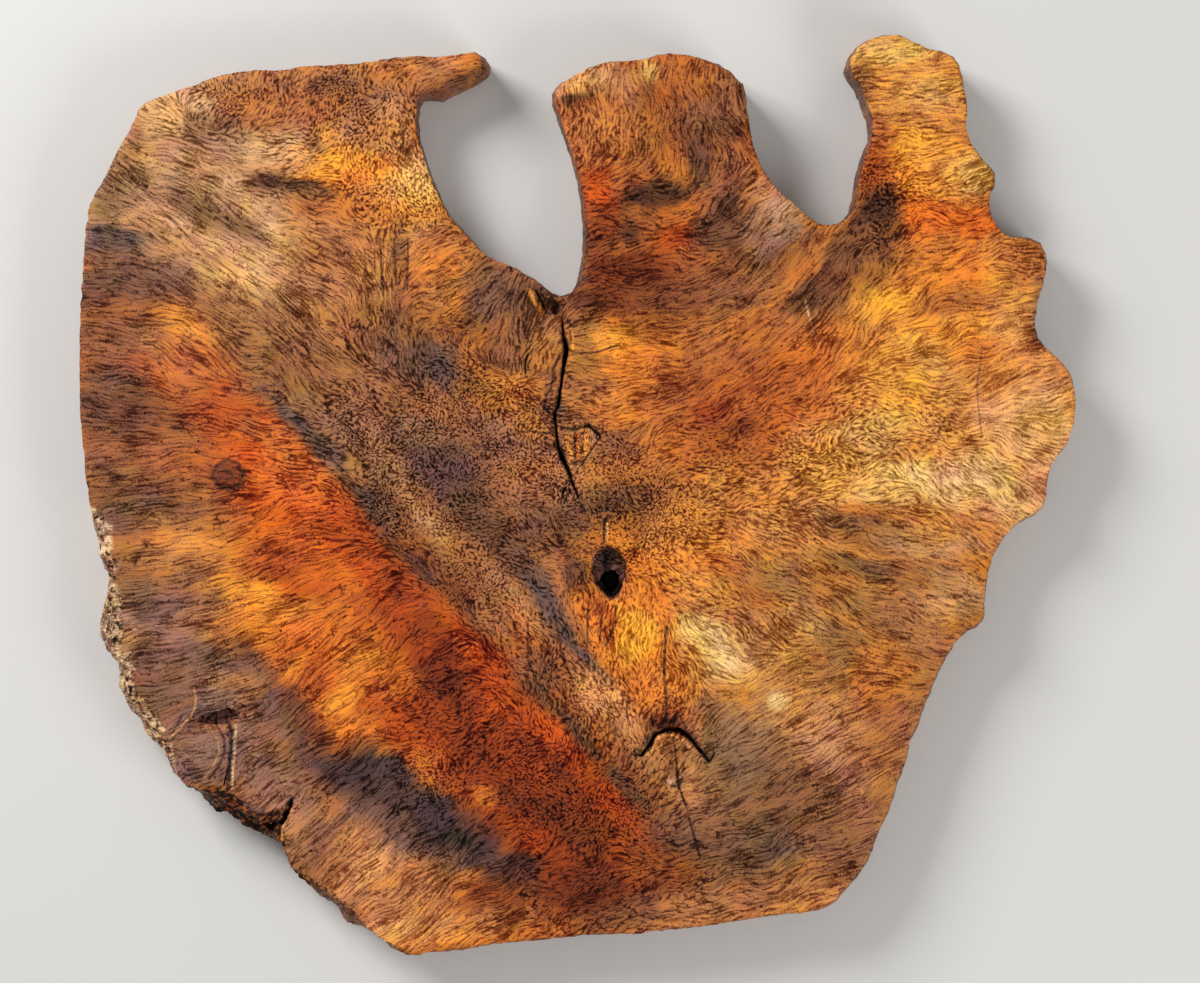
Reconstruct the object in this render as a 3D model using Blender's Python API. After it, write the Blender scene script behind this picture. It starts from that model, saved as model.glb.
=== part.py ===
"""Myrtle burl slab: one slice of a wild root burl, sawn flat above and below.

The slab lies flat. +X runs along its longest side, +Y towards its three lobes, and +Z up
through the figured face. Its origin is under the middle of its outline, on the sawn underside.
"""
import bpy
import bmesh
from mathutils import Matrix, Vector, noise

# Driving dimensions, in metres
SLAB_LENGTH = 0.800
SLAB_THICKNESS = 0.050
WALL_STEP = 0.0085
VOID_DEPTH = 0.038
VOID_LEDGE_DEPTH = 0.011
CHECK_DEPTH = 0.013
BARK_DEPTH = 0.007
POCKET_DEPTH = 0.008
CUTTER_RISE = 0.002

# The outline is drawn on a sheet whose units run right and down, as the slab lies on a bench
SHEET_LENGTH = 1000.0
SHEET_MIDDLE = (577.0, 494.5)
SHEET_UNIT = SLAB_LENGTH / SHEET_LENGTH

# How far each ring of the side wall stands out between the face's rim and the widest reach
WALL_PROFILE = [
    (0.00, 0.00),
    (0.06, 0.45),
    (0.22, 0.80),
    (0.44, 1.00),
    (0.68, 0.96),
    (0.92, 0.80),
    (1.00, 0.60),
]

# Wavelengths of the wall's lumps, and how much of the relief the fine ones carry
LUMP_SIZE = 0.030
KNOB_SIZE = 0.012
KNOB_SHARE = 0.4
SAMPLES_PER_SPAN = 10

# Stretches of the outline, clockwise: lip is the wall's width beside the face in sheet units,
# relief the depth of its lumps in metres, reach the outer line, rim the face's own edge there
OUTLINE = [
    {
        "name": "left side",
        "lip": 3.0,
        "relief": 0.0025,
        "reach": [(88, 515), (83, 470), (78, 415), (77, 355), (79, 295), (83, 240)],
    },
    {
        "name": "left lobe top",
        "lip": 2.5,
        "relief": 0.0015,
        "reach": [
            (88, 203), (97, 187), (107, 170), (115, 152), (128, 131), (135, 111), (145, 100),
            (160, 96), (176, 89), (193, 85), (208, 78), (225, 73), (243, 69.5), (275, 69),
            (300, 65.5), (330, 63.5), (365, 61.5), (395, 56), (430, 55.5), (455, 54),
        ],
    },
    {
        "name": "hooked spur",
        "lip": 2.5,
        "relief": 0.001,
        "reach": [(475, 50.5), (485, 56), (490, 66), (486, 73), (472, 82), (450, 92), (440, 98),
                  (430, 94), (421, 94)],
        "rim": [(474, 53), (482, 56), (476, 60), (464, 66), (454, 70), (441, 78), (430, 85),
                (421, 90), (415, 94)],
    },
    {
        "name": "left lobe inner edge",
        "lip": 2.5,
        "relief": 0.0015,
        "reach": [
            (416.5, 103), (416.5, 130), (422, 150), (429, 170), (435, 187), (445, 208),
            (458, 225), (470, 238), (487, 256), (502, 262), (518, 269), (532, 277), (548, 290),
            (560, 296),
        ],
    },
    {
        "name": "first notch",
        "lip": 9.0,
        "relief": 0.003,
        "reach": [(571, 291), (577, 277), (580, 253), (581, 228), (579, 205)],
    },
    {
        "name": "middle lobe left",
        "lip": 4.0,
        "relief": 0.002,
        "reach": [(575, 175), (568, 150), (561, 130), (555, 112), (551, 97), (554, 85)],
    },
    {
        "name": "middle lobe top",
        "lip": 2.5,
        "relief": 0.0015,
        "reach": [
            (568, 77), (586, 68), (604, 61.5), (625, 60), (640, 59.5), (655, 54), (665, 51),
            (676, 53), (692, 54), (708, 60), (722, 64), (735, 76), (743, 80),
        ],
    },
    {
        "name": "middle lobe right",
        "lip": 2.5,
        "relief": 0.002,
        "reach": [
            (746, 92), (748, 112), (751, 132), (756, 152), (764, 170), (777, 187), (790, 200),
            (805, 212), (818, 223), (832, 224.5),
        ],
    },
    {
        "name": "second notch",
        "lip": 3.5,
        "relief": 0.002,
        "reach": [
            (846, 218), (853, 207), (855, 190), (859, 168), (865, 150), (871, 132), (869, 114),
            (863, 99), (858, 85), (849, 73), (848, 60),
        ],
    },
    {
        "name": "right prong",
        "lip": 3.0,
        "relief": 0.002,
        "reach": [
            (856, 46), (872, 36), (890, 33), (908, 36), (921, 46), (940, 49), (955, 56),
            (963, 73), (966, 92), (969, 112), (968, 130), (974, 146), (986, 160), (997, 172),
            (997, 184), (989, 198), (992, 212), (999, 228), (1010, 236.5), (1030, 236.5),
        ],
    },
    {
        "name": "right shoulder",
        "lip": 5.5,
        "relief": 0.003,
        "reach": [
            (1042, 242), (1049, 256), (1048, 274), (1043, 294), (1039, 314), (1038, 332),
            (1050, 348), (1062, 358),
        ],
    },
    {
        "name": "right side",
        "lip": 3.0,
        "relief": 0.002,
        "reach": [(1071, 369), (1076, 390), (1077, 412), (1073, 435), (1063, 453)],
    },
    {
        "name": "lower right edge",
        "lip": 4.5,
        "relief": 0.0025,
        "reach": [
            (1052, 465), (1050, 482), (1048, 502), (1040, 514), (1026, 521), (1013, 530),
            (1003, 544), (994, 557), (991, 574), (987, 592), (987, 613), (982, 626), (970, 633),
            (957, 643), (950, 658), (940, 673), (934, 690), (926, 707), (922, 723), (913, 739),
            (909, 760), (901, 780), (895, 797), (890, 813), (882, 830), (876, 845), (871, 861),
            (861, 875), (848, 891), (836, 904),
        ],
    },
    {
        "name": "sawn foot",
        "lip": 4.0,
        "relief": 0.001,
        "reach": [
            (819, 912), (790, 916), (745, 921.5), (700, 929), (652, 933), (638, 936),
            (605, 936), (560, 940), (515, 944), (485, 947), (463, 952), (437, 954), (410, 956),
            (394, 951),
        ],
    },
    {
        "name": "live edge",
        "lip": 12.0,
        "relief": 0.005,
        "reach": [
            (381, 942), (369, 932), (355, 928), (340, 920), (330, 909), (315, 897), (301, 885),
            (288, 870), (283, 854), (268, 844), (248, 834), (229, 821), (210, 809), (193, 798),
            (181, 788), (172, 769), (162, 748), (145, 736), (134, 719), (122, 700), (113, 684),
            (111, 664), (98, 651), (95, 633), (98, 614), (102, 592), (102, 572), (95, 556),
            (91, 538),
        ],
        "rim": [
            (382, 938), (370, 930), (358, 913), (342, 898), (322, 885), (306, 873), (290, 858),
            (285, 842), (283, 826), (286, 811), (278, 806), (263, 811), (253, 807), (243, 796),
            (230, 789), (216, 784), (203, 787), (190, 789), (180, 780), (174, 765), (169, 745),
            (158, 725), (146, 708), (135, 690), (130, 672), (123, 650), (124, 633), (121, 612),
            (118, 591), (109, 566), (107, 545), (103, 525),
        ],
    },
]

# The deep void: its mouth, and the black shaft below the ledge at its upper end
VOID_MOUTH = [
    (606, 543), (618, 549), (627, 561), (627, 577), (621, 592), (612, 601), (602, 595),
    (592, 581), (590, 567), (594, 554),
]
VOID_SHAFT = [(610, 569), (621, 574), (619, 588), (612, 596), (604, 590), (597, 578)]

# The drying check from the first notch down to the void: middle line and width, sheet units
CHECK_LINE = [
    (561, 316, 4), (563, 335, 5), (566, 349, 8), (563, 368, 5), (560, 388, 4), (558, 406, 4),
    (554, 413, 5), (556, 432, 4), (558, 447, 5), (562, 458, 9), (568, 470, 5), (572, 483, 4),
    (578, 499, 2.5),
]
CHECK_FORK = [(571, 481, 3.5), (563, 491, 3.5), (560, 506, 2.5)]
CHECK_SPLINTER = [(533, 286, 3), (540, 299, 4), (547, 314, 3)]
SHORT_CHECK = [(528, 353, 2.5), (525, 363, 4), (525, 374, 2.5)]
WEDGE_SEAM = [(560, 427, 2.5), (574, 430, 3), (588, 426, 5), (600, 437, 3), (588, 455, 2.5),
              (575, 473, 3)]
NOTCH_PIT = [(550, 298), (558, 300), (562, 308), (558, 317), (551, 313)]

# The crescent of bark below the void, with its hairline tail
BARK_CRESCENT = [
    (630, 754, 3), (641, 756, 5), (649, 746, 7), (656, 734, 8), (667, 730, 8), (680, 731, 8),
    (690, 739, 6), (700, 751, 6), (709, 762, 5), (715, 753, 3),
]
BARK_TAIL = [(673, 738, 2.5), (676, 760, 3), (677, 783, 5), (683, 799, 3), (688, 812, 2)]

# The round knot near the live edge, half ringed by a hollow
KNOT_HOLLOW = [(196, 720), (208, 711), (223, 707), (238, 712), (238, 720), (222, 729),
               (208, 728)]
KNOT_SEAM = [(227, 727, 5), (230, 745, 4), (229, 765, 4), (223, 786, 5)]

# Hollows eaten into the side wall: middle, half width, half height, and depth below the face
EDGE_BURROWS = [
    {"name": "gash_hollow", "at": (238, 822), "radii": (0.026, 0.012, 0.011), "sunk": 0.014,
     "turn": -0.60},
    {"name": "tongue_hollow", "at": (275, 822), "radii": (0.013, 0.010, 0.011), "sunk": 0.012,
     "turn": 0.0},
    {"name": "corner_hollow", "at": (303, 877), "radii": (0.014, 0.008, 0.009), "sunk": 0.010,
     "turn": -0.65},
    {"name": "shoulder_hollow", "at": (1041, 312), "radii": (0.007, 0.020, 0.012),
     "sunk": 0.014, "turn": 0.0},
    {"name": "crust_pit", "at": (97, 650), "radii": (0.009, 0.008, 0.007), "sunk": 0.022,
     "turn": 0.0},
]
TONGUE_CRACK = [(281, 826, 9), (287, 812, 7), (292, 801, 6), (301, 789, 3)]
BURROW_ROUGHNESS = 0.22
BURROW_ROUGHNESS_SIZE = 0.006

WOOD_COLOUR = (0.46, 0.19, 0.06, 1.0)
WOOD_ROUGHNESS = 0.42


def clear_objects():
    """Empty the file, so that the slab stands alone in it."""
    for old in list(bpy.data.objects):
        bpy.data.objects.remove(old, do_unlink=True)


def from_sheet(x, y):
    """A point of the drawing sheet as a point of the slab's plane, in metres."""
    return Vector(((x - SHEET_MIDDLE[0]) * SHEET_UNIT, (SHEET_MIDDLE[1] - y) * SHEET_UNIT))


def spline_point(before, start, end, after, t):
    """A point between start and end on the smooth curve through all four."""
    return 0.5 * (
        2.0 * start
        + (end - before) * t
        + (2.0 * before - 5.0 * start + 4.0 * end - after) * t * t
        + (3.0 * start - before - 3.0 * end + after) * t * t * t
    )


def smooth_run(before, points, after):
    """The curve through points, from the first to the last, as a dense row of points."""
    row = []
    guides = [before] + points + [after]
    for index in range(1, len(guides) - 2):
        for step in range(SAMPLES_PER_SPAN):
            t = step / SAMPLES_PER_SPAN
            row.append(spline_point(*guides[index - 1:index + 3], t))
    row.append(points[-1].copy())
    return row


def run_length(row):
    """The length of a row of points."""
    return sum((b - a).length for a, b in zip(row, row[1:]))


def even_points(row, count):
    """count points at even steps along the row, its first among them and its last not."""
    step = run_length(row) / count
    result = [row[0].copy()]
    travelled = 0.0
    for a, b in zip(row, row[1:]):
        piece = (b - a).length
        while travelled + piece >= step * len(result) and len(result) < count:
            share = (step * len(result) - travelled) / piece
            result.append(a.lerp(b, share))
        travelled += piece
    return result


def outward_normals(loop, window):
    """Level normals of a clockwise loop, each from the points a few places either side."""
    normals = []
    count = len(loop)
    for index in range(count):
        along = loop[(index + window) % count] - loop[index - window]
        normals.append(Vector((-along.y, along.x)).normalized())
    return normals


def soften(values, passes):
    """A closed list of values or points, each eased towards its two neighbours."""
    for _ in range(passes):
        values = [
            values[index - 1] * 0.25 + values[index] * 0.5
            + values[(index + 1) % len(values)] * 0.25
            for index in range(len(values))
        ]
    return values


def outline_loops():
    """The wall's outer line, the face's rim and the relief, point for point round the slab."""
    reach = []
    lips = []
    reliefs = []
    spans = []
    for index, stretch in enumerate(OUTLINE):
        following = OUTLINE[(index + 1) % len(OUTLINE)]["reach"]
        points = [from_sheet(*p) for p in stretch["reach"] + following[:1]]
        row = smooth_run(from_sheet(*OUTLINE[index - 1]["reach"][-1]), points,
                         from_sheet(*following[1]))
        count = max(3, round(run_length(row) / WALL_STEP))
        spans.append((len(reach), count))
        reach += even_points(row, count)
        lips += [stretch["lip"] * SHEET_UNIT] * count
        reliefs += [stretch["relief"]] * count
    normals = outward_normals(reach, 2)
    lips = soften(lips, 3)
    rim = [point - normal * lip for point, normal, lip in zip(reach, normals, lips)]
    for stretch, (first, count) in zip(OUTLINE, spans):
        if "rim" not in stretch:
            continue
        last = (first + count) % len(rim)
        points = [from_sheet(*p) for p in stretch["rim"]] + [rim[last]]
        row = smooth_run(rim[first - 1], points, rim[(last + 1) % len(rim)])
        for offset, point in enumerate(even_points(row, count)):
            rim[first + offset] = point
    return reach, soften(rim, 1), soften(reliefs, 4)


def wall_relief(point, height, strength):
    """How far the wall is eaten back at a point: long lumps, with knobs on them."""
    place = Vector((point.x, point.y, height))
    lumps = noise.noise(place / LUMP_SIZE)
    knobs = noise.noise(place / KNOB_SIZE)
    return strength * (0.5 + (1.0 - KNOB_SHARE) * lumps + KNOB_SHARE * knobs)


def wall_rings():
    """The rings of the side wall, from the face's rim down to the sawn underside."""
    reach, rim, reliefs = outline_loops()
    normals = outward_normals(reach, 3)
    rings = []
    for depth, spread in WALL_PROFILE:
        height = SLAB_THICKNESS * (1.0 - depth)
        ring = []
        for outer, inner, normal, relief in zip(reach, rim, normals, reliefs):
            place = inner.lerp(outer, spread)
            eaten = wall_relief(place, height, relief) * spread
            place = place - normal * eaten
            ring.append(Vector((place.x, place.y, height)))
        rings.append(ring)
    return rings


def box_middle(points):
    """The middle of the points' own box, in plan."""
    xs = [p.x for p in points]
    ys = [p.y for p in points]
    return Vector(((min(xs) + max(xs)) / 2, (min(ys) + max(ys)) / 2, 0.0))


def object_from(bm, name):
    """A new object from a finished bmesh, with its faces turned outwards."""
    bmesh.ops.recalc_face_normals(bm, faces=bm.faces)
    mesh = bpy.data.meshes.new(name)
    bm.to_mesh(mesh)
    bm.free()
    obj = bpy.data.objects.new(name, mesh)
    bpy.context.scene.collection.objects.link(obj)
    return obj


def skin_rings(bm, rings):
    """Quads between each ring and the next, and a flat face on the first and last ring."""
    rows = [[bm.verts.new(p) for p in ring] for ring in rings]
    for upper, lower in zip(rows, rows[1:]):
        for index in range(len(upper)):
            bm.faces.new((upper[index - 1], upper[index], lower[index], lower[index - 1]))
    bm.faces.new(rows[0])
    bm.faces.new(rows[-1])


def make_blank(rings):
    """The slab before any hollow is cut in it."""
    bm = bmesh.new()
    skin_rings(bm, rings)
    return object_from(bm, "burl_slab")


def pocket_cutter(name, mouth, depth, floor_share):
    """A hollow open at the face: a smooth mouth whose walls close in towards the floor."""
    points = [from_sheet(*p) for p in mouth]
    row = smooth_run(points[-1], points + points[:1], points[1])
    edge = even_points(row, len(mouth) * 2)
    middle = sum(edge, Vector((0.0, 0.0))) / len(edge)
    levels = [(CUTTER_RISE, 1.04), (-0.45 * depth, 0.88), (-depth, floor_share)]
    rings = []
    for rise, share in levels:
        ring = [middle + (p - middle) * share for p in edge]
        rings.append([Vector((p.x, p.y, SLAB_THICKNESS + rise)) for p in ring])
    bm = bmesh.new()
    skin_rings(bm, rings)
    return object_from(bm, name)


def groove_cutter(name, line, depth):
    """A crack open at the face: wide as drawn at the top and thin at the bottom."""
    middles = [from_sheet(x, y) for x, y, _ in line]
    sections = []
    for index, (middle, (_, _, width)) in enumerate(zip(middles, line)):
        before = middles[max(index - 1, 0)]
        after = middles[min(index + 1, len(middles) - 1)]
        along = (after - before).normalized()
        across = Vector((-along.y, along.x)) * width * SHEET_UNIT / 2
        at_end = index in (0, len(line) - 1)
        floor = SLAB_THICKNESS - depth * (0.4 if at_end else 1.0)
        top = SLAB_THICKNESS + CUTTER_RISE
        corners = [(-1.1, top), (1.1, top), (0.25, floor), (-0.25, floor)]
        sections.append([
            Vector((middle.x + across.x * side, middle.y + across.y * side, height))
            for side, height in corners
        ])
    bm = bmesh.new()
    skin_rings(bm, sections)
    return object_from(bm, name)


def burrow_cutter(burrow):
    """A rough hollow eaten into the side wall."""
    bm = bmesh.new()
    bmesh.ops.create_icosphere(bm, subdivisions=2, radius=1.0)
    for vert in bm.verts:
        vert.co = Vector(a * b for a, b in zip(vert.co, burrow["radii"]))
        roughness = noise.noise(vert.co / BURROW_ROUGHNESS_SIZE)
        vert.co *= 1.0 + BURROW_ROUGHNESS * roughness
    middle = from_sheet(*burrow["at"])
    place = Vector((middle.x, middle.y, SLAB_THICKNESS - burrow["sunk"]))
    turn = Matrix.Rotation(burrow["turn"], 4, "Z")
    bm.transform(Matrix.Translation(place) @ turn)
    return object_from(bm, burrow["name"])


def make_cutters():
    """Every hollow of the slab, each as a shape to be taken out of it."""
    cutters = [
        pocket_cutter("void_mouth", VOID_MOUTH, VOID_LEDGE_DEPTH, 0.80),
        pocket_cutter("void_shaft", VOID_SHAFT, VOID_DEPTH, 0.60),
        pocket_cutter("notch_pit", NOTCH_PIT, POCKET_DEPTH, 0.50),
        pocket_cutter("knot_hollow", KNOT_HOLLOW, POCKET_DEPTH, 0.55),
        groove_cutter("drying_check", CHECK_LINE, CHECK_DEPTH),
        groove_cutter("check_fork", CHECK_FORK, POCKET_DEPTH),
        groove_cutter("check_splinter", CHECK_SPLINTER, POCKET_DEPTH),
        groove_cutter("short_check", SHORT_CHECK, POCKET_DEPTH),
        groove_cutter("wedge_seam", WEDGE_SEAM, POCKET_DEPTH / 2),
        groove_cutter("bark_crescent", BARK_CRESCENT, BARK_DEPTH),
        groove_cutter("bark_tail", BARK_TAIL, BARK_DEPTH / 2),
        groove_cutter("knot_seam", KNOT_SEAM, POCKET_DEPTH / 2),
        groove_cutter("tongue_crack", TONGUE_CRACK, CHECK_DEPTH),
    ]
    cutters += [burrow_cutter(burrow) for burrow in EDGE_BURROWS]
    for cutter in cutters:
        cutter.hide_render = True
        cutter.display_type = "WIRE"
    return cutters


def cut_hollows(slab, cutters):
    """Take every cutter out of the slab."""
    for cutter in cutters:
        cut = slab.modifiers.new(cutter.name, "BOOLEAN")
        cut.operation = "DIFFERENCE"
        cut.solver = "EXACT"
        cut.object = cutter


def wood_material():
    """Oiled myrtle burl."""
    material = bpy.data.materials.new("oiled_burl")
    material.use_nodes = True
    shader = material.node_tree.nodes["Principled BSDF"]
    shader.inputs["Base Color"].default_value = WOOD_COLOUR
    shader.inputs["Roughness"].default_value = WOOD_ROUGHNESS
    shader.inputs["Metallic"].default_value = 0.0
    material.diffuse_color = WOOD_COLOUR
    return material


def main():
    clear_objects()
    rings = wall_rings()
    slab = make_blank(rings)
    cutters = make_cutters()
    to_origin = Matrix.Translation(-box_middle([p for ring in rings for p in ring]))
    for obj in [slab] + cutters:
        obj.data.transform(to_origin)
    cut_hollows(slab, cutters)
    slab.data.materials.append(wood_material())


main()
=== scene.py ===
"""The looks of the myrtle burl slab: figured face, live edge, void, checks and bark pockets."""
import math

import bpy
import numpy as np
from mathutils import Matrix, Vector, kdtree, noise


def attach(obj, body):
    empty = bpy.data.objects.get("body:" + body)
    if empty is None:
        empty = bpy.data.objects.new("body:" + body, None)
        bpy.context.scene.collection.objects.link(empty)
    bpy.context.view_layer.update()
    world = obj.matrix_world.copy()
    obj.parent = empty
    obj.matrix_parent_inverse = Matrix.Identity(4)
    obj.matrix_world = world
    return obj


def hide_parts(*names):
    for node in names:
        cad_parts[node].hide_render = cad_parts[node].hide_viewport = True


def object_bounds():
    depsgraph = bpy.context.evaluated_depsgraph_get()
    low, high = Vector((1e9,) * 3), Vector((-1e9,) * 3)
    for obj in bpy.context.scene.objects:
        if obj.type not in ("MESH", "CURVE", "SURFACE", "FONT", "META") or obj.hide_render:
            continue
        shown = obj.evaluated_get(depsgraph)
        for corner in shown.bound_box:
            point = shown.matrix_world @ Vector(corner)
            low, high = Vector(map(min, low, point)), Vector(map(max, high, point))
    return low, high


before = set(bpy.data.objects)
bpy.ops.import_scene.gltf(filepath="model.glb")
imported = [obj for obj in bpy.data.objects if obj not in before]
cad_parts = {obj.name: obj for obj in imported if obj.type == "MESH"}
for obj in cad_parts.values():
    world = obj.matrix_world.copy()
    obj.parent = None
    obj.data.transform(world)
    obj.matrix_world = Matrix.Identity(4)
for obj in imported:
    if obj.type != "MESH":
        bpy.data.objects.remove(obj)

CAD_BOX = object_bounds()

# The drawing sheet: x runs right and y down, with the slab's middle at SHEET_MIDDLE
SHEET_UNIT = 0.0008
SHEET_MIDDLE = (577.0, 494.5)
SHEET_SIZE = (1200, 983)
SHEET_STEP = 2

# Heights, in metres, and how far below the face a point still counts as the face's own
FACE_HEIGHT = 0.04995
SOLE_HEIGHT = 0.00005
SOLE_REACH = 0.0004
FACE_SLACK = 0.0002
RIM_SLACK = 0.0003
WORN_SLACK = 0.0015
WALL_FROM = 0.0006

# The squares that the face and the sole are cut into, in metres, and how often the walls, the
# live edge and the cells by a fine mark, within MARK_REACH units of the sheet, are cut again
FACE_CELL = 0.0036
SOLE_CELL = 0.009
BLOCK_SIZE = (0.82, 0.76)
BLOCK_DEPTH = 0.07
WALL_CUTS = 2
LIVE_CUTS = 1
MARK_CUTS = 3
MARK_REACH = 3.2

# What counts as a wall, as the rim and as leaning outwards, by the normal; and in the copy of
# the solid, the gap that is welded, in metres, and the angle that is flat, in radians
WALL_NORMAL = 0.999
RIM_NORMAL = 0.9
LEAST_LEAN = 0.1
WELD_GAP = 1e-6
FLAT_ANGLE = 0.0005

# Edges sharper than this many degrees stay sharp
SHARP_ANGLE = 38

# The live edge: below LIVE_FROM and to the left of a slanting line, and where it has begun
LIVE_FROM = 0.0
LIVE_LINE = -0.345
LIVE_SLANT = 0.6
LIVE_BEGINS = 0.025

# Worn rim and rough walls: sizes and depths in metres
WORN_RIM = 0.0005
WORN_DIPS = 0.010
RIM_WANDER = 0.0008
RIM_BENDS = 0.006
RIM_NICKS = 0.0025
CRUST_SIZE = 0.0075
CRUST_DEPTH = 0.0011
LIVE_CRUST_DEPTH = 0.0036
KNOB_SIZE = 2.2 * CRUST_SIZE
PIT_SIZE = 0.0030
FACE_KNOB_SIZE = 0.0055
FACE_CRUST_DEPTH = 0.0014

# How much each of those noises counts, and the level that it is measured from
NICK_SHARE = 0.6
CRUST_LAYERS = 3
CRUST_LEVEL = 0.55
CRUST_SHARE = 0.6
KNOB_SHARE = 0.8
PIT_SHARE = 0.7
PIT_LEVEL = 0.15
FACE_CRUST_LEVEL = 0.6

# Colours of the walls by height, depth and distance, in metres; the hollows darken with depth as
# painted shade
WALL_REACH = 0.032
WALL_FOOT = (0.004, 0.012)
WALL_FADE = 0.004
HOLLOW_FLOOR = 0.006
PAINTED_SHADE_DEPTH = 0.0035
LEDGE_DEPTH = 0.0125
LIP_FADE = 0.003
COARSE_SPECKLE = 0.0060
FINE_SPECKLE = 0.0026

# Colours of the walls by place, in units of the sheet
CRUST_ROWS = (512, 766)
CRUST_FADE = 24
CRUST_FRINGE = 6.0
GASH_ROWS = (770, 850)
GASH_FROM = 180
ROW_FRAY = 30
FAR_INSIDE = -99.0
VOID_PLACE = (609, 573)
VOID_REACH = 44
# Left of and below the next place, the void's ledge gets a painted shadow, as dark as the shaft
LEDGE_SHADE_FROM = (622, 582)
KNOT_PLACE = (217, 722)
KNOT_REACH = 34

# How the crust's borders rise and fray with the coarse speckle, and the painted shade of the
# hollows
CRUST_TOP_FRAY = 2.0
BORDER_RISE = 0.5
BORDER_FRAY = 5.0
HOLLOW_SHADE = 0.55

# Coats of the walls: stain, its share, and how far the coarse and the fine speckle move that
WALL_COATS = (("umber", 0.72, 0.6, 0.0), ("walnut", 0.0, 0.0, 1.2))
CRUST_COATS = (("crust", 0.85, 0.8, 0.0), ("walnut", -0.1, -2.4, 0.0), ("ink", -0.8, 0.0, 5.0))
# In the gash, the near-black coat is painted shade in its hollow; the rust speckle is its fibre
GASH_SHADE_COATS = (("ink", 0.9, 0.0, 0.0), ("rust", -0.07, 0.0, 3.5))
FOOT_COATS = (("clay", 0.5, 0.8, 0.0), ("ink", -0.56, 0.0, 4.0))
TORN_COATS = (("fibre", 1.0, 0.0, 0.0), ("ink", 0.125, 0.0, 2.5))

# Noises of the figure: the spread of their blots, how far they are dragged along the grain,
# both in units of the sheet, and in how many steps each way
DRAW_SEED = 41
SWIRL_SPREAD = 9.0
SWIRL_TURN = 0.45
STREAK = (3.0, 18, 9)
RIBBON = (8.0, 30, 10)
MOTTLE = (4.0, 5, 3)
BLOT = (7.0, 12, 5)
BLOT_MOTTLE = 0.6
FLECK_FROM = 0.4
FLECK_RISE = 1.1

# How straight wood calms the swirl, and how much each noise counts in the figure, and in the
# feathered borders of the patches
STRAIGHT_CALM = 0.8
MOTTLE_SHARE = 0.35
RIBBON_SHARE = 0.20
STREAK_SHARE = 0.20
FLECK_SHARE = 1.1
STREAK_FEATHER = 0.6
RIBBON_FEATHER = 0.8

# How patches of colour spread past their given size, end and fray, small ones the most
PATCH_SCALE = 1.25
PATCH_END = 1.25
PATCH_SOFTNESS = 0.75
PATCH_FRAY = 0.06
SMALL_PATCH_FRAY = 1.8

# How fast a grain guide's hold falls off, and how firmly a place of CONTRAST holds its own
GUIDE_EASE = 300.0
GUIDE_FALL = -1.6
CONTRAST_GRIP = 6.0
CONTRAST_NARROWING = 0.6

# How the sole is paled, and how strongly the marks and the torn fibre show
SOLE_SHADE = 0.72
SOLE_HAZE = 0.10
MARK_COVER = 0.8
MARK_END = 1.6
GROOVE_WIDTH = 1.3
TORN_CONTRAST = 0.8
PLAIN_CONTRAST = 0.25

# Shares of blue to red light between which the bright flecks turn from orange to pale
PALE_FROM = 0.10
PALE_TO = 0.26
LEAST_RED = 0.001

# The fine figure that the material draws. A scale counts a noise's knobs to a metre. A line
# noise has its scale, the metres between its steps, its steps each way and its spread.
CURLY_BEND = 0.017
STRAIGHT_BEND = 0.004
BEND_SCALE = 48.0
LINE_NOISE = (265.0, 0.0029, 4, 0.50)
RIDGE_NOISE = (540.0, 0.0015, 4, 0.55)
LINE_WIDTH = 0.45
# The bright band beside each line is in part pale grain and in part a painted highlight along one
# side of it
BRIGHT_LEVEL = 0.80
BRIGHT_WIDTH = 0.40
CLOUD_SCALE = 60.0
DUST_SCALE = 700.0
HUE_SCALE = 42.0

# How plain noises are stretched about their middle: the stretch, and the value at none
FADE_STRETCH = (4.5, -1.5)
DUST_STRETCH = (8.0, -4.0)
CLOUD_STRETCH = (7.0, -3.5)

# Round marks: how many to a metre, their size in their cells, and the share of cells with one
PITS = (75.0, 0.13, 0.30)
# The glints are painted highlights: bright specks laid into the colour, with no relief
PAINTED_GLINTS = (120.0, 0.10, 0.14)

# How much each part of the fine figure lifts the stain, or darkens it where negative
LINE_WEIGHT = -1.7
PIT_WEIGHT = -3.6
DUST_WEIGHT = 0.12
# The glints' weight lifts the colour for their painted highlights
PAINTED_GLINT_WEIGHT = 0.9
CLOUD_WEIGHT = 0.50
FIGURE_WEIGHT = 0.36
CONTRAST_GAIN = 1.35
MOST_LIFT = 0.75
DEEPENING = 0.70

# The same for parts that change with the pull of the grain: the change, and the value at none
PULL_BY_STRAIGHTNESS = (1.6, -0.48)
LINE_LEVEL_BY_PULL = (0.55, 0.45)
LEAST_FADE_BY_PULL = (0.35, 0.15)
GROUND_BY_PULL = (0.4, 0.0)
BRIGHT_BY_PULL = (-0.6, 2.0)
RIDGE_BY_PULL = (0.10, 0.24)

# How far green and blue swing with the hue noise: the swing, and the value at none
GREEN_SWING = (0.4, 0.8)
BLUE_SWING = (1.2, 0.4)

# Surface of the oiled wood
PIT_RELIEF = -1.5
BUMP_STRENGTH = 0.5
BUMP_DISTANCE = 0.0003
WOOD_ROUGHNESS = 0.42
WOOD_SPECULAR = 0.12

# Floor, lamps, room and camera: sizes and places in metres, powers in watts
FLOOR_SIZE = 8.0
FLOOR_COLOUR = (0.80, 0.79, 0.77, 1.0)
FLOOR_ROUGHNESS = 0.9
LAMPS = (
    ("window", (-1.9, 1.8, 1.8), 1.3, 78.0),
    ("far_side", (2.2, -1.6, 1.7), 1.6, 42.0),
)
ROOM_COLOUR = (1.0, 0.99, 0.97, 1.0)
ROOM_LIGHT = 0.30
CAMERA_HEIGHT = 2.65
CAMERA_SENSOR = 36.0
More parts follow.
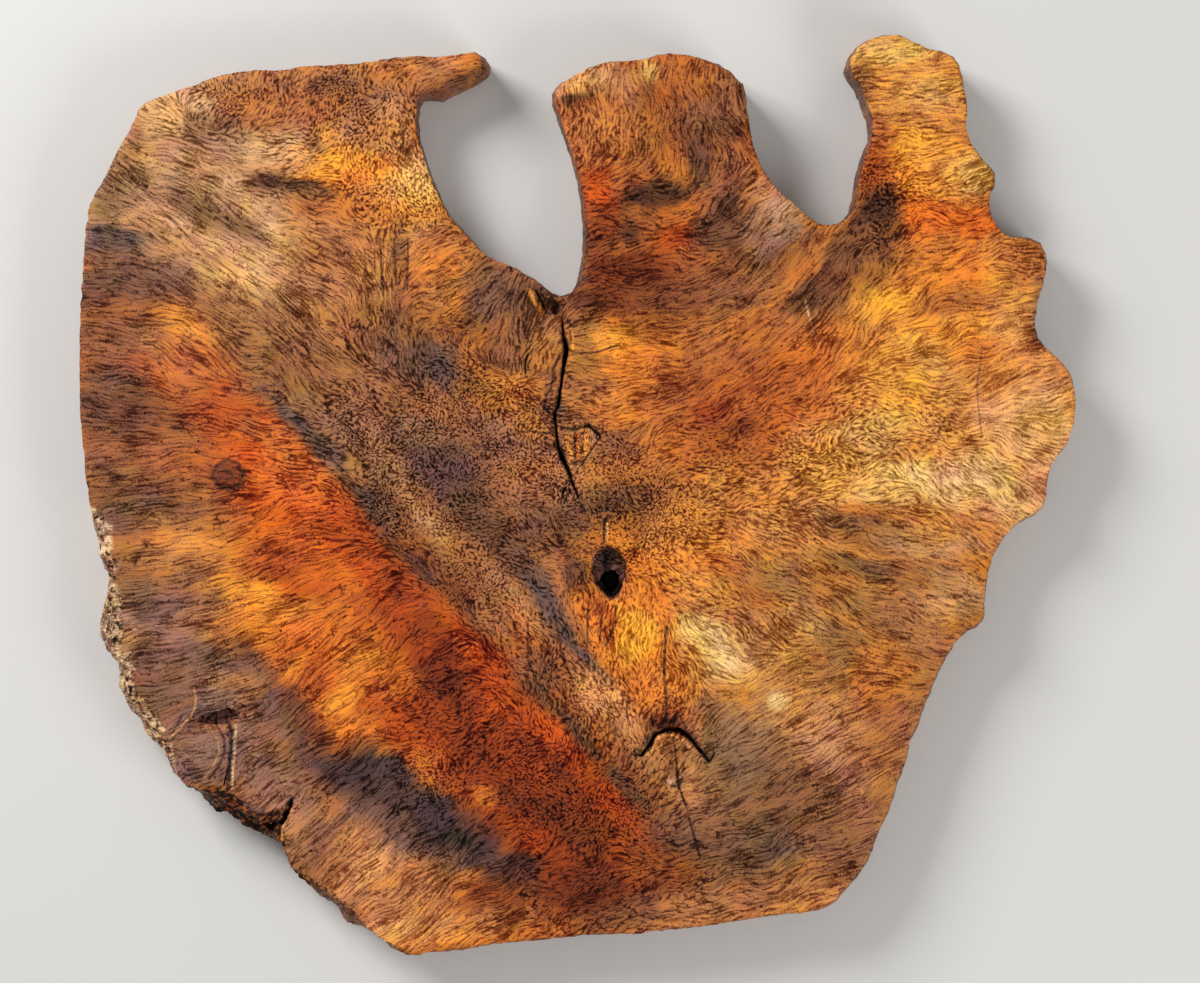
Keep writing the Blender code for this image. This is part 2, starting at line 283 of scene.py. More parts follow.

# Stains, as red, green and blue from 0 to 255
STAINS = {
    "cream": (238, 198, 130),
    "straw": (230, 180, 106),
    "sand": (206, 156, 108),
    "blush": (228, 160, 102),
    "salmon": (204, 132, 86),
    "honey": (214, 142, 74),
    "gold": (236, 156, 62),
    "glow": (246, 176, 64),
    "amber": (218, 124, 50),
    "flame": (204, 84, 30),
    "ember": (172, 68, 28),
    "rust": (166, 90, 50),
    "brick": (138, 56, 28),
    "oxblood": (98, 42, 28),
    "burl": (184, 108, 56),
    "tan": (176, 126, 88),
    "clay": (160, 102, 68),
    "walnut": (132, 84, 60),
    "umber": (98, 64, 48),
    "olive": (146, 102, 64),
    "moss": (120, 88, 62),
    "slate": (84, 68, 64),
    "charcoal": (60, 46, 48),
    "plum": (84, 58, 56),
    "coffee": (76, 44, 32),
    # Near-black, for dark marks and pits, and as painted shade in the hollows and the gash
    "ink": (30, 20, 18),
    "crust": (212, 174, 132),
    "fibre": (112, 74, 62),
    "mauve": (140, 108, 104),
}

# Patches of colour, painted one over another: stain, x, y, half length, half width, the angle
# that the patch's length rises to the right, and how strongly it covers
PATCHES = {
    "ground": [
        ("burl", 650, 400, 380, 320, 0, 1.0),
    ],
    "left lobe": [
        ("tan", 220, 190, 200, 110, -20, 1.0),
        ("clay", 300, 98, 125, 32, 3, 0.85),
        ("rust", 300, 105, 90, 20, 3, 0.45),
        ("sand", 172, 112, 32, 20, 20, 0.9),
        ("walnut", 131, 150, 12, 34, -15, 0.8),
        ("moss", 110, 200, 30, 22, 10, 0.7),
        ("slate", 112, 240, 34, 15, -5, 0.8),
        ("walnut", 220, 131, 32, 9, -12, 0.7),
        ("umber", 330, 86, 20, 10, 0, 0.45),
        ("walnut", 385, 92, 24, 9, 20, 0.5),
        ("salmon", 255, 112, 26, 8, 10, 0.3),
        ("sand", 275, 150, 52, 14, -8, 0.8),
        ("honey", 326, 138, 16, 12, 0, 0.7),
        ("walnut", 180, 168, 46, 8, -28, 0.5),
        ("moss", 205, 205, 64, 16, -30, 0.75),
        ("walnut", 170, 195, 50, 9, -32, 0.5),
        ("sand", 172, 222, 46, 7, -30, 0.6),
        ("sand", 260, 215, 50, 10, -30, 0.6),
        ("moss", 240, 235, 40, 6, -32, 0.5),
        ("sand", 250, 262, 66, 18, -28, 0.85),
        ("straw", 248, 276, 36, 10, -26, 0.8),
        ("straw", 285, 246, 26, 8, -40, 0.5),
        ("sand", 190, 268, 46, 10, -14, 0.6),
        ("walnut", 160, 290, 60, 16, -12, 0.7),
        ("walnut", 112, 280, 36, 24, 0, 0.85),
        ("umber", 100, 290, 26, 16, 0, 0.5),
        ("burl", 350, 240, 60, 40, -20, 0.6),
        ("clay", 345, 262, 50, 30, -30, 0.6),
        ("rust", 330, 206, 40, 16, -5, 0.6),
        ("amber", 350, 168, 56, 20, -4, 0.85),
        ("gold", 338, 160, 26, 13, 5, 0.85),
        ("gold", 312, 168, 22, 8, 12, 0.6),
        ("gold", 404, 196, 30, 24, -20, 0.85),
        ("amber", 380, 206, 46, 16, 0, 0.6),
        ("honey", 392, 118, 20, 26, 0, 0.7),
        ("burl", 372, 132, 14, 16, 0, 0.5),
        ("coffee", 282, 184, 22, 7, -8, 0.8),
        ("umber", 312, 192, 22, 8, -14, 0.6),
        ("umber", 318, 148, 7, 14, 30, 0.5),
        ("salmon", 415, 70, 46, 16, 10, 0.85),
        ("amber", 398, 78, 26, 12, 0, 0.6),
        ("sand", 240, 310, 46, 8, -30, 0.5),
        ("olive", 260, 340, 66, 40, -34, 0.85),
        ("clay", 320, 300, 50, 26, -38, 0.6),
        ("honey", 322, 318, 22, 8, -45, 0.55),
        ("umber", 398, 262, 8, 30, 0, 0.75),
        ("umber", 382, 312, 24, 34, 10, 0.6),
        ("olive", 330, 372, 56, 36, -40, 0.7),
        ("walnut", 388, 366, 30, 30, -40, 0.7),
        ("amber", 438, 290, 34, 42, 30, 0.75),
        ("honey", 434, 302, 20, 14, 10, 0.6),
        ("rust", 452, 332, 34, 12, 10, 0.6),
        ("slate", 432, 360, 22, 22, -30, 0.85),
        ("charcoal", 440, 376, 16, 14, -40, 0.6),
        ("walnut", 510, 300, 40, 34, -30, 0.85),
        ("umber", 530, 316, 20, 30, 10, 0.6),
        ("moss", 545, 300, 14, 14, 0, 0.5),
        ("umber", 512, 350, 24, 22, 0, 0.7),
        ("burl", 496, 394, 36, 18, -10, 0.7),
        ("honey", 505, 384, 18, 8, 20, 0.5),
        ("walnut", 548, 370, 10, 50, 5, 0.6),
    ],
    "left side": [
        ("rust", 150, 420, 110, 90, -10, 0.95),
        ("ember", 150, 335, 60, 24, -30, 0.6),
        ("rust", 112, 335, 34, 20, 0, 0.7),
        ("amber", 180, 334, 38, 24, -38, 0.95),
        ("gold", 182, 330, 20, 14, -38, 0.7),
        ("flame", 205, 368, 46, 18, -38, 0.8),
        ("flame", 160, 372, 40, 16, -20, 0.5),
        ("umber", 112, 405, 40, 30, 0, 0.75),
        ("oxblood", 150, 418, 34, 12, -5, 0.5),
        ("ember", 250, 430, 70, 34, -40, 0.85),
        ("clay", 120, 462, 44, 16, 3, 0.6),
        ("flame", 190, 462, 46, 16, 0, 0.5),
        ("flame", 280, 480, 70, 40, -35, 0.9),
        ("amber", 262, 490, 30, 14, 0, 0.45),
        ("walnut", 118, 492, 40, 12, 4, 0.6),
        ("oxblood", 228, 476, 15, 15, 0, 0.7),
        ("rust", 228, 476, 6, 6, 0, 0.7),
        ("clay", 118, 535, 34, 34, 5, 0.85),
    ],
    "grey diagonal": [
        ("clay", 430, 500, 250, 76, -45, 0.95),
        ("walnut", 470, 470, 120, 50, -45, 0.8),
        ("sand", 312, 412, 26, 14, -40, 0.6),
        ("tan", 350, 440, 60, 18, -45, 0.5),
        ("umber", 300, 425, 50, 7, -44, 0.85),
        ("umber", 372, 512, 60, 8, -48, 0.75),
        ("plum", 440, 462, 46, 26, -40, 0.75),
        ("slate", 415, 436, 22, 14, -30, 0.5),
        ("tan", 400, 500, 60, 12, -45, 0.55),
        ("olive", 385, 478, 22, 16, 0, 0.5),
        ("sand", 434, 530, 26, 12, -40, 0.55),
        ("umber", 500, 545, 60, 22, -45, 0.7),
        ("walnut", 545, 510, 34, 34, 0, 0.6),
        ("burl", 570, 548, 20, 10, -30, 0.7),
        ("clay", 480, 560, 50, 14, -48, 0.8),
        ("tan", 505, 600, 40, 16, -50, 0.8),
        ("salmon", 524, 626, 26, 12, -50, 0.75),
        ("slate", 540, 590, 44, 12, -52, 0.8),
        ("slate", 566, 655, 30, 10, -55, 0.6),
        ("salmon", 600, 690, 44, 20, -52, 0.9),
        ("blush", 600, 692, 26, 14, -52, 0.85),
        ("clay", 560, 664, 30, 14, -50, 0.5),
        ("clay", 632, 742, 44, 20, -50, 0.85),
        ("umber", 640, 790, 66, 11, -44, 0.7),
    ],
    "red band": [
        ("flame", 330, 560, 100, 66, -42, 0.9),
        ("ember", 430, 670, 170, 80, -43, 0.95),
        ("brick", 560, 820, 130, 74, -43, 0.95),
        ("amber", 300, 590, 90, 54, -30, 0.8),
        ("honey", 190, 550, 54, 22, -8, 0.85),
        ("amber", 160, 530, 26, 14, 0, 0.6),
        ("gold", 240, 590, 44, 15, 2, 0.9),
        ("amber", 250, 640, 40, 24, -40, 0.6),
        ("ember", 290, 585, 22, 14, -30, 0.5),
        ("gold", 300, 608, 30, 9, 20, 0.5),
        ("flame", 390, 590, 60, 18, -45, 0.85),
        ("ember", 350, 530, 40, 22, -45, 0.5),
        ("rust", 340, 600, 20, 10, 30, 0.5),
        ("brick", 430, 625, 50, 14, -48, 0.7),
        ("oxblood", 450, 690, 36, 16, -40, 0.7),
        ("amber", 356, 660, 40, 22, 35, 0.85),
        ("gold", 368, 658, 16, 10, 30, 0.7),
        ("gold", 340, 700, 22, 12, 40, 0.8),
        ("gold", 293, 671, 14, 8, 20, 0.8),
        ("amber", 340, 738, 34, 24, 30, 0.9),
        ("gold", 330, 735, 16, 9, 30, 0.6),
        ("rust", 312, 690, 14, 8, 40, 0.5),
        ("flame", 420, 725, 40, 22, -42, 0.6),
        ("flame", 480, 650, 50, 12, -46, 0.7),
        ("flame", 530, 715, 50, 18, -46, 0.8),
        ("brick", 500, 770, 46, 24, -40, 0.7),
        ("amber", 483, 795, 16, 11, -40, 0.85),
        ("oxblood", 470, 725, 30, 10, -60, 0.5),
        ("flame", 560, 800, 40, 12, -50, 0.5),
        ("flame", 612, 832, 44, 16, -46, 0.8),
        ("oxblood", 530, 800, 34, 18, -30, 0.6),
        ("ember", 545, 842, 30, 16, -30, 0.6),
        ("oxblood", 590, 895, 60, 22, -10, 0.8),
        ("brick", 520, 885, 40, 14, 0, 0.6),
        ("rust", 600, 932, 70, 12, 4, 0.7),
        ("oxblood", 490, 840, 20, 20, 0, 0.4),
    ],
    "lower left": [
        ("walnut", 165, 650, 62, 78, 5, 0.95),
        ("moss", 125, 610, 34, 40, 5, 0.6),
        ("clay", 180, 620, 40, 9, 8, 0.6),
        ("plum", 205, 640, 44, 14, -25, 0.5),
        ("clay", 205, 685, 40, 10, 10, 0.6),
        ("moss", 150, 705, 34, 18, 30, 0.6),
        ("umber", 248, 662, 46, 14, -44, 0.8),
        ("walnut", 240, 650, 30, 8, -40, 0.4),
        ("plum", 288, 718, 50, 20, -48, 0.9),
        ("plum", 345, 778, 50, 22, -36, 0.95),
        ("charcoal", 382, 772, 40, 20, -30, 0.95),
        ("plum", 420, 815, 66, 28, -38, 0.95),
        ("charcoal", 448, 842, 36, 16, -30, 0.8),
        ("plum", 500, 866, 44, 18, -30, 0.8),
        ("rust", 360, 745, 14, 12, 40, 0.4),
        ("walnut", 255, 745, 40, 46, 30, 0.85),
        ("tan", 262, 760, 26, 12, 40, 0.5),
        ("clay", 204, 750, 30, 30, 0, 0.8),
        ("tan", 200, 752, 18, 16, 0, 0.5),
        ("umber", 238, 752, 6, 40, 5, 0.6),
        ("moss", 212, 712, 28, 9, 0, 0.6),
        ("salmon", 350, 860, 70, 62, 38, 0.9),
        ("clay", 300, 800, 34, 16, 30, 0.8),
        ("clay", 320, 850, 16, 40, -40, 0.4),
        ("blush", 382, 860, 36, 14, 38, 0.7),
        ("blush", 418, 930, 50, 12, 14, 0.75),
        ("walnut", 352, 906, 34, 8, 40, 0.5),
        ("clay", 432, 880, 30, 14, 35, 0.6),
        ("rust", 490, 905, 50, 16, 12, 0.7),
        ("amber", 500, 934, 60, 8, 6, 0.6),
    ],
    "below the void": [
        ("amber", 640, 560, 60, 60, 0, 0.6),
        ("amber", 636, 636, 40, 50, -60, 0.95),
        ("glow", 634, 638, 22, 24, -60, 0.9),
        ("gold", 612, 622, 26, 18, -50, 0.6),
        ("flame", 600, 612, 10, 26, 35, 0.5),
        ("amber", 654, 686, 34, 22, 70, 0.85),
        ("rust", 662, 714, 22, 10, 0, 0.6),
        ("amber", 682, 660, 12, 30, 10, 0.6),
        ("straw", 718, 650, 50, 26, -40, 0.9),
        ("cream", 732, 668, 26, 14, -50, 0.85),
        ("cream", 700, 632, 20, 12, -30, 0.5),
        ("clay", 690, 770, 60, 34, -50, 0.7),
        ("salmon", 688, 785, 12, 30, 15, 0.8),
        ("salmon", 650, 752, 14, 10, 0, 0.5),
        ("walnut", 700, 745, 12, 22, 20, 0.5),
    ],
    "lower right": [
        ("olive", 780, 780, 110, 96, 20, 0.9),
        ("moss", 735, 745, 30, 50, 30, 0.8),
        ("moss", 770, 840, 56, 26, 25, 0.8),
        ("slate", 790, 842, 30, 14, 10, 0.5),
        ("walnut", 700, 850, 56, 30, -20, 0.7),
        ("clay", 690, 810, 30, 20, 0, 0.5),
        ("clay", 780, 690, 50, 30, -20, 0.6),
        ("honey", 822, 722, 28, 24, 20, 0.7),
        ("salmon", 836, 735, 26, 14, 30, 0.5),
        ("clay", 870, 720, 60, 60, 30, 0.85),
        ("rust", 880, 700, 34, 14, 20, 0.6),
        ("walnut", 846, 762, 50, 9, 30, 0.6),
        ("clay", 845, 830, 50, 60, 30, 0.85),
        ("salmon", 860, 790, 34, 7, 30, 0.5),
        ("salmon", 780, 900, 110, 16, 8, 0.7),
        ("clay", 690, 905, 80, 18, 8, 0.8),
        ("salmon", 680, 926, 80, 6, 7, 0.5),
        ("rust", 660, 870, 30, 18, 0, 0.5),
    ],
    "right side": [
        ("olive", 830, 610, 110, 60, -25, 0.9),
        ("honey", 720, 540, 60, 26, -10, 0.7),
        ("rust", 726, 566, 24, 12, -20, 0.6),
        ("rust", 760, 600, 30, 16, -20, 0.7),
        ("olive", 800, 548, 50, 20, -20, 0.7),
        ("moss", 880, 572, 46, 11, -14, 0.85),
        ("sand", 930, 545, 60, 16, -10, 0.85),
        ("honey", 905, 600, 60, 10, -18, 0.75),
        ("sand", 950, 592, 36, 28, -15, 0.8),
        ("walnut", 868, 590, 24, 6, -20, 0.5),
        ("honey", 858, 552, 40, 5, -16, 0.6),
        ("clay", 920, 640, 60, 26, -25, 0.8),
        ("honey", 866, 630, 50, 6, -24, 0.6),
        ("burl", 790, 640, 40, 12, -30, 0.6),
        ("honey", 800, 490, 90, 24, 6, 0.75),
        ("straw", 890, 478, 80, 24, -5, 0.9),
        ("cream", 934, 480, 36, 16, -20, 0.75),
        ("sand", 862, 498, 22, 8, 0, 0.5),
        ("olive", 830, 518, 40, 8, -14, 0.6),
        ("blush", 1015, 440, 66, 90, 0, 0.95),
        ("salmon", 1000, 366, 44, 20, 25, 0.6),
        ("sand", 1010, 500, 50, 20, -30, 0.6),
        ("clay", 1040, 388, 26, 6, 25, 0.5),
        ("amber", 900, 372, 110, 44, 10, 0.7),
        ("gold", 890, 352, 40, 14, 30, 0.6),
        ("honey", 960, 372, 50, 14, 12, 0.5),
        ("rust", 935, 386, 30, 7, 15, 0.5),
        ("rust", 948, 416, 17, 11, -15, 0.75),
        ("rust", 966, 446, 15, 9, -30, 0.6),
        ("rust", 888, 455, 24, 8, -8, 0.65),
        ("olive", 850, 470, 14, 8, 0, 0.6),
        ("gold", 890, 296, 46, 28, 20, 0.9),
        ("glow", 884, 288, 24, 12, 30, 0.5),
        ("gold", 950, 328, 60, 16, 5, 0.75),
        ("amber", 950, 268, 60, 22, 5, 0.85),
        ("rust", 940, 302, 28, 8, -8, 0.5),
        ("burl", 930, 312, 20, 6, 0, 0.4),
        ("honey", 1015, 290, 32, 46, 10, 0.7),
        ("burl", 1028, 262, 26, 24, 10, 0.7),
        ("walnut", 1040, 300, 8, 40, 5, 0.5),
    ],
    "right prong": [
        ("honey", 905, 85, 70, 60, 5, 1.0),
        ("straw", 890, 48, 40, 14, 5, 0.8),
        ("straw", 930, 90, 30, 16, 10, 0.4),
        ("walnut", 862, 78, 8, 22, 0, 0.6),
        ("burl", 890, 118, 30, 8, 3, 0.7),
        ("gold", 925, 150, 36, 22, 0, 0.9),
        ("glow", 916, 146, 18, 10, 0, 0.5),
        ("amber", 930, 205, 60, 40, 5, 0.9),
        ("flame", 950, 220, 44, 18, 0, 0.5),
        ("gold", 940, 180, 22, 12, 0, 0.5),
        ("rust", 986, 180, 14, 18, 0, 0.8),
        ("rust", 880, 152, 12, 30, 5, 0.8),
        ("brick", 874, 176, 14, 26, 5, 0.8),
        ("coffee", 876, 222, 20, 36, -5, 0.95),
        ("umber", 850, 250, 34, 18, 40, 0.8),
        ("umber", 815, 300, 26, 24, 55, 0.7),
        ("rust", 835, 285, 20, 14, 50, 0.6),
    ],
    "middle lobe": [
        ("rust", 650, 150, 100, 110, 80, 0.95),
        ("burl", 625, 135, 34, 34, 75, 0.7),
        ("walnut", 722, 100, 30, 46, -60, 0.75),
        ("burl", 704, 78, 9, 22, -20, 0.7),
        ("blush", 582, 84, 28, 13, 30, 0.95),
        ("tan", 622, 82, 30, 16, 10, 0.6),
        ("coffee", 576, 98, 14, 6, 10, 0.8),
        ("umber", 640, 98, 14, 8, 60, 0.4),
        ("amber", 672, 166, 20, 17, -40, 0.8),
        ("burl", 640, 160, 18, 18, 0, 0.6),
        ("umber", 700, 156, 12, 26, 5, 0.8),
        ("coffee", 655, 198, 34, 15, 5, 0.9),
        ("ember", 598, 208, 18, 30, 0, 0.9),
        ("flame", 594, 200, 10, 14, 0, 0.5),
        ("coffee", 632, 236, 11, 13, 0, 0.95),
        ("flame", 670, 240, 22, 15, 20, 0.9),
        ("brick", 640, 264, 40, 14, 0, 0.8),
        ("oxblood", 610, 268, 26, 20, 0, 0.7),
        ("coffee", 605, 302, 26, 12, -10, 0.85),
        ("walnut", 670, 296, 60, 14, 5, 0.75),
        ("clay", 730, 200, 30, 34, 0, 0.6),
        ("salmon", 768, 196, 12, 34, 40, 0.7),
        ("umber", 760, 246, 44, 13, 20, 0.7),
        ("walnut", 715, 240, 20, 26, 0, 0.7),
        ("walnut", 745, 290, 50, 20, 15, 0.6),
        ("straw", 648, 67, 5, 9, 10, 0.7),
        ("moss", 578, 250, 6, 40, 5, 0.7),
    ],
    "centre": [
        ("gold", 622, 338, 52, 22, -5, 0.85),
        ("amber", 630, 366, 54, 24, 5, 0.8),
        ("glow", 612, 332, 16, 8, 0, 0.4),
        ("amber", 620, 410, 30, 20, 10, 0.7),
        ("rust", 760, 360, 90, 34, 15, 0.6),
        ("amber", 812, 356, 46, 20, 25, 0.6),
        ("rust", 680, 390, 30, 12, 25, 0.5),
        ("rust", 740, 415, 70, 40, 15, 0.75),
        ("oxblood", 738, 442, 32, 22, 10, 0.85),
        ("brick", 712, 408, 18, 9, 10, 0.7),
        ("umber", 586, 440, 40, 20, -10, 0.5),
        ("walnut", 630, 440, 30, 14, 0, 0.6),
        ("umber", 600, 500, 26, 16, 0, 0.75),
        ("umber", 640, 496, 20, 9, 10, 0.6),
        ("walnut", 560, 480, 30, 26, 0, 0.6),
        ("honey", 700, 500, 60, 18, 10, 0.6),
        ("amber", 800, 430, 50, 20, 20, 0.5),
        ("amber", 660, 440, 22, 12, 0, 0.5),
        ("umber", 572, 575, 11, 18, 0, 0.8),
        ("umber", 560, 530, 24, 18, 0, 0.5),
        ("burl", 590, 545, 16, 9, 0, 0.6),
        ("amber", 680, 555, 44, 34, 0, 0.7),
        ("honey", 700, 590, 40, 20, -20, 0.7),
    ],
    "glazes": [
        ("sand", 168, 106, 34, 20, 0, 0.4),
        ("walnut", 425, 88, 30, 24, 20, 0.5),
        ("clay", 385, 205, 40, 20, 0, 0.35),
        ("slate", 118, 325, 44, 44, 0, 0.35),
        ("tan", 178, 358, 40, 24, -30, 0.35),
        ("umber", 300, 380, 60, 40, -40, 0.3),
        ("umber", 430, 345, 60, 40, -30, 0.3),
        ("walnut", 420, 300, 30, 30, 0, 0.3),
        ("walnut", 150, 470, 70, 50, 0, 0.35),
        ("umber", 130, 510, 50, 40, 0, 0.3),
        ("oxblood", 350, 455, 60, 40, -40, 0.1),
        ("umber", 375, 505, 46, 24, -45, 0.3),
        ("ember", 300, 550, 70, 30, -30, 0.35),
        ("rust", 240, 560, 50, 20, -10, 0.35),
        ("umber", 400, 550, 70, 34, -45, 0.4),
        ("umber", 470, 600, 60, 24, -48, 0.4),
        ("brick", 424, 622, 34, 26, -40, 0.45),
        ("ember", 300, 665, 40, 30, -40, 0.35),
        ("oxblood", 430, 700, 70, 40, -42, 0.35),
        ("oxblood", 520, 692, 40, 26, -45, 0.25),
        ("oxblood", 525, 760, 50, 30, -42, 0.3),
        ("charcoal", 385, 802, 80, 32, -38, 0.45),
        ("charcoal", 470, 832, 50, 20, -35, 0.45),
        ("plum", 330, 800, 34, 24, -38, 0.2),
        ("oxblood", 575, 800, 50, 40, -40, 0.45),
        ("coffee", 620, 850, 60, 40, -20, 0.35),
        ("umber", 680, 850, 50, 40, 0, 0.3),
        ("oxblood", 520, 895, 50, 30, 0, 0.35),
        ("umber", 690, 160, 40, 50, 80, 0.3),
        ("oxblood", 620, 270, 60, 50, 0, 0.35),
        ("brick", 650, 300, 60, 30, 0, 0.35),
        ("umber", 680, 290, 50, 40, 0, 0.3),
        ("umber", 785, 250, 30, 30, 40, 0.3),
        ("burl", 885, 260, 50, 30, 0, 0.35),
        ("umber", 575, 350, 24, 50, 0, 0.5),
        ("umber", 590, 400, 50, 20, 0, 0.1),
        ("rust", 675, 350, 40, 30, 0, 0.3),
        ("umber", 640, 500, 50, 30, 0, 0.35),
        ("rust", 700, 505, 50, 26, 0, 0.35),
        ("umber", 585, 560, 26, 40, 0, 0.3),
        ("rust", 580, 640, 24, 40, 0, 0.4),
        ("honey", 725, 450, 30, 20, 0, 0.35),
        ("burl", 780, 455, 40, 24, 0, 0.4),
        ("honey", 790, 545, 40, 24, 0, 0.35),
        ("clay", 930, 560, 60, 40, 0, 0.4),
        ("honey", 770, 690, 60, 30, 0, 0.5),
        ("tan", 760, 720, 50, 30, 0, 0.35),
        ("umber", 780, 810, 80, 40, 20, 0.35),
        ("umber", 850, 850, 30, 30, 0, 0.3),
    ],
    "late washes": [
        ("umber", 372, 84, 34, 14, 10, 0.3),
        ("moss", 222, 134, 30, 20, -20, 0.35),
        ("cream", 412, 186, 30, 22, 0, 0.25),
        ("salmon", 584, 132, 44, 24, 20, 0.35),
        ("honey", 966, 176, 40, 24, -10, 0.6),
        ("amber", 884, 160, 22, 28, 0, 0.25),
        ("umber", 604, 226, 56, 20, 0, 0.25),
        ("tan", 766, 218, 30, 20, 40, 0.4),
        ("walnut", 142, 272, 58, 20, -4, 0.45),
        ("sand", 262, 268, 54, 20, -28, 0.3),
        ("honey", 376, 270, 20, 40, 0, 0.3),
        ("slate", 482, 288, 26, 30, 0, 0.3),
        ("umber", 854, 276, 54, 22, 20, 0.4),
        ("umber", 448, 322, 48, 20, 20, 0.25),
        ("salmon", 548, 340, 44, 24, 0, 0.3),
        ("honey", 856, 326, 56, 20, 0, 0.3),
        ("blush", 1022, 320, 34, 24, 0, 0.35),
        ("rust", 800, 388, 54, 34, 0, 0.35),
        ("salmon", 582, 398, 30, 44, 0, 0.3),
        ("straw", 900, 396, 60, 50, 0, 0.45),
        ("blush", 975, 468, 28, 34, 0, 0.45),
        ("cream", 1034, 428, 34, 34, 0, 0.3),
        ("tan", 340, 446, 66, 28, -20, 0.4),
        ("salmon", 428, 424, 28, 22, 0, 0.4),
        ("amber", 822, 478, 30, 20, 0, 0.35),
        ("umber", 478, 520, 24, 30, 0, 0.3),
        ("umber", 628, 518, 28, 24, 0, 0.25),
        ("honey", 684, 522, 30, 20, 0, 0.35),
        ("amber", 772, 532, 34, 24, 0, 0.55),
        ("umber", 876, 530, 34, 20, 0, 0.3),
        ("ember", 298, 574, 56, 22, -20, 0.3),
        ("amber", 826, 578, 30, 20, 0, 0.3),
        ("amber", 224, 616, 34, 22, 10, 0.45),
        ("honey", 778, 630, 34, 30, 0, 0.5),
        ("umber", 972, 620, 20, 28, 0, 0.3),
        ("amber", 376, 672, 34, 24, -40, 0.35),
        ("tan", 562, 684, 36, 30, -50, 0.25),
        ("amber", 880, 670, 30, 26, 0, 0.55),
        ("salmon", 832, 736, 40, 34, 0, 0.55),
        ("honey", 660, 728, 50, 18, 0, 0.25),
        ("walnut", 205, 750, 46, 40, 0, 0.6),
        ("slate", 170, 712, 34, 26, 0, 0.4),
        ("slate", 214, 706, 26, 16, 0, 0.5),
        ("walnut", 262, 792, 46, 34, 40, 0.5),
        ("umber", 300, 850, 40, 30, 40, 0.45),
        ("flame", 328, 736, 28, 20, -40, 0.3),
        ("flame", 522, 770, 30, 20, -40, 0.3),
        ("salmon", 424, 880, 36, 26, 30, 0.5),
        ("blush", 452, 924, 56, 14, 8, 0.3),
        ("umber", 622, 915, 44, 14, 6, 0.35),
        ("flame", 650, 870, 40, 20, 0, 0.2),
        ("ember", 770, 410, 90, 50, 20, 0.22),
        ("brick", 690, 250, 50, 40, 0, 0.2),
        ("slate", 170, 640, 60, 40, 10, 0.3),
        ("slate", 150, 520, 50, 20, 5, 0.3),
        ("umber", 130, 270, 50, 18, 0, 0.3),
        ("brick", 380, 625, 40, 20, -40, 0.3),
        ("umber", 545, 690, 24, 40, -60, 0.2),
        ("oxblood", 228, 475, 14, 14, 0, 0.6),
        ("sand", 138, 168, 50, 24, -30, 0.35),
        ("sand", 200, 180, 50, 18, -30, 0.3),
        ("cream", 418, 178, 24, 20, 0, 0.2),
        ("gold", 940, 168, 40, 20, 0, 0.4),
        ("cream", 982, 178, 18, 14, 0, 0.3),
        ("tan", 772, 226, 34, 18, 40, 0.35),
        ("straw", 236, 280, 34, 12, -26, 0.4),
        ("straw", 836, 452, 44, 34, -10, 0.45),
        ("cream", 884, 428, 34, 22, 0, 0.25),
        ("salmon", 548, 478, 44, 20, 0, 0.4),
        ("honey", 728, 476, 30, 18, 10, 0.4),
        ("cream", 976, 474, 26, 22, 0, 0.35),
        ("sand", 780, 528, 34, 18, 0, 0.35),
        ("gold", 928, 526, 30, 16, -20, 0.35),
        ("salmon", 172, 530, 40, 14, 6, 0.35),
        ("salmon", 190, 628, 50, 14, 12, 0.4),
        ("amber", 232, 632, 24, 20, 20, 0.4),
        ("oxblood", 430, 618, 30, 22, -40, 0.35),
        ("tan", 232, 690, 40, 16, 14, 0.3),
        ("slate", 526, 674, 20, 24, -60, 0.35),
        ("honey", 680, 676, 22, 24, 0, 0.35),
        ("cream", 736, 672, 34, 20, 0, 0.3),
        ("tan", 238, 732, 16, 30, 0, 0.3),
        ("sand", 832, 728, 34, 24, 20, 0.35),
        ("salmon", 276, 826, 30, 24, 40, 0.45),
        ("ink", 216, 792, 22, 5, -32, 0.7),
        ("ink", 258, 818, 22, 6, -40, 0.6),
        ("charcoal", 400, 818, 70, 20, -38, 0.3),
        ("oxblood", 470, 760, 90, 26, -42, 0.2),
        ("umber", 345, 440, 90, 10, -48, 0.3),
        ("slate", 425, 368, 30, 14, -20, 0.3),
        ("cream", 432, 170, 22, 26, 0, 0.3),
        ("cream", 980, 170, 26, 22, 0, 0.3),
        ("sand", 786, 220, 20, 20, 40, 0.3),
        ("gold", 880, 384, 40, 26, 0, 0.35),
        ("gold", 930, 434, 34, 26, 0, 0.3),
        ("tan", 580, 470, 26, 26, 0, 0.25),
        ("gold", 834, 470, 30, 24, 0, 0.3),
        ("cream", 984, 484, 28, 24, 0, 0.3),
        ("honey", 684, 532, 30, 26, 0, 0.35),
        ("honey", 782, 520, 28, 24, 0, 0.35),
        ("blush", 120, 634, 12, 30, 0, 0.4),
        ("tan", 486, 620, 20, 18, -50, 0.4),
        ("sand", 784, 634, 34, 28, 0, 0.25),
        ("amber", 384, 668, 30, 24, -40, 0.35),
        ("amber", 684, 672, 16, 28, 0, 0.4),
        ("flame", 484, 716, 30, 24, -40, 0.3),
        ("salmon", 684, 784, 18, 24, 0, 0.35),
        ("salmon", 284, 834, 28, 26, 40, 0.3),
        ("umber", 220, 220, 40, 16, -30, 0.3),
        ("umber", 718, 226, 24, 28, 0, 0.5),
        ("umber", 130, 284, 40, 14, -8, 0.25),
        ("umber", 216, 520, 40, 20, 0, 0.2),
        ("brick", 302, 580, 60, 18, -20, 0.25),
        ("umber", 930, 580, 30, 20, 0, 0.25),
        ("umber", 222, 772, 24, 20, 0, 0.3),
        ("walnut", 776, 778, 32, 34, 20, 0.4),
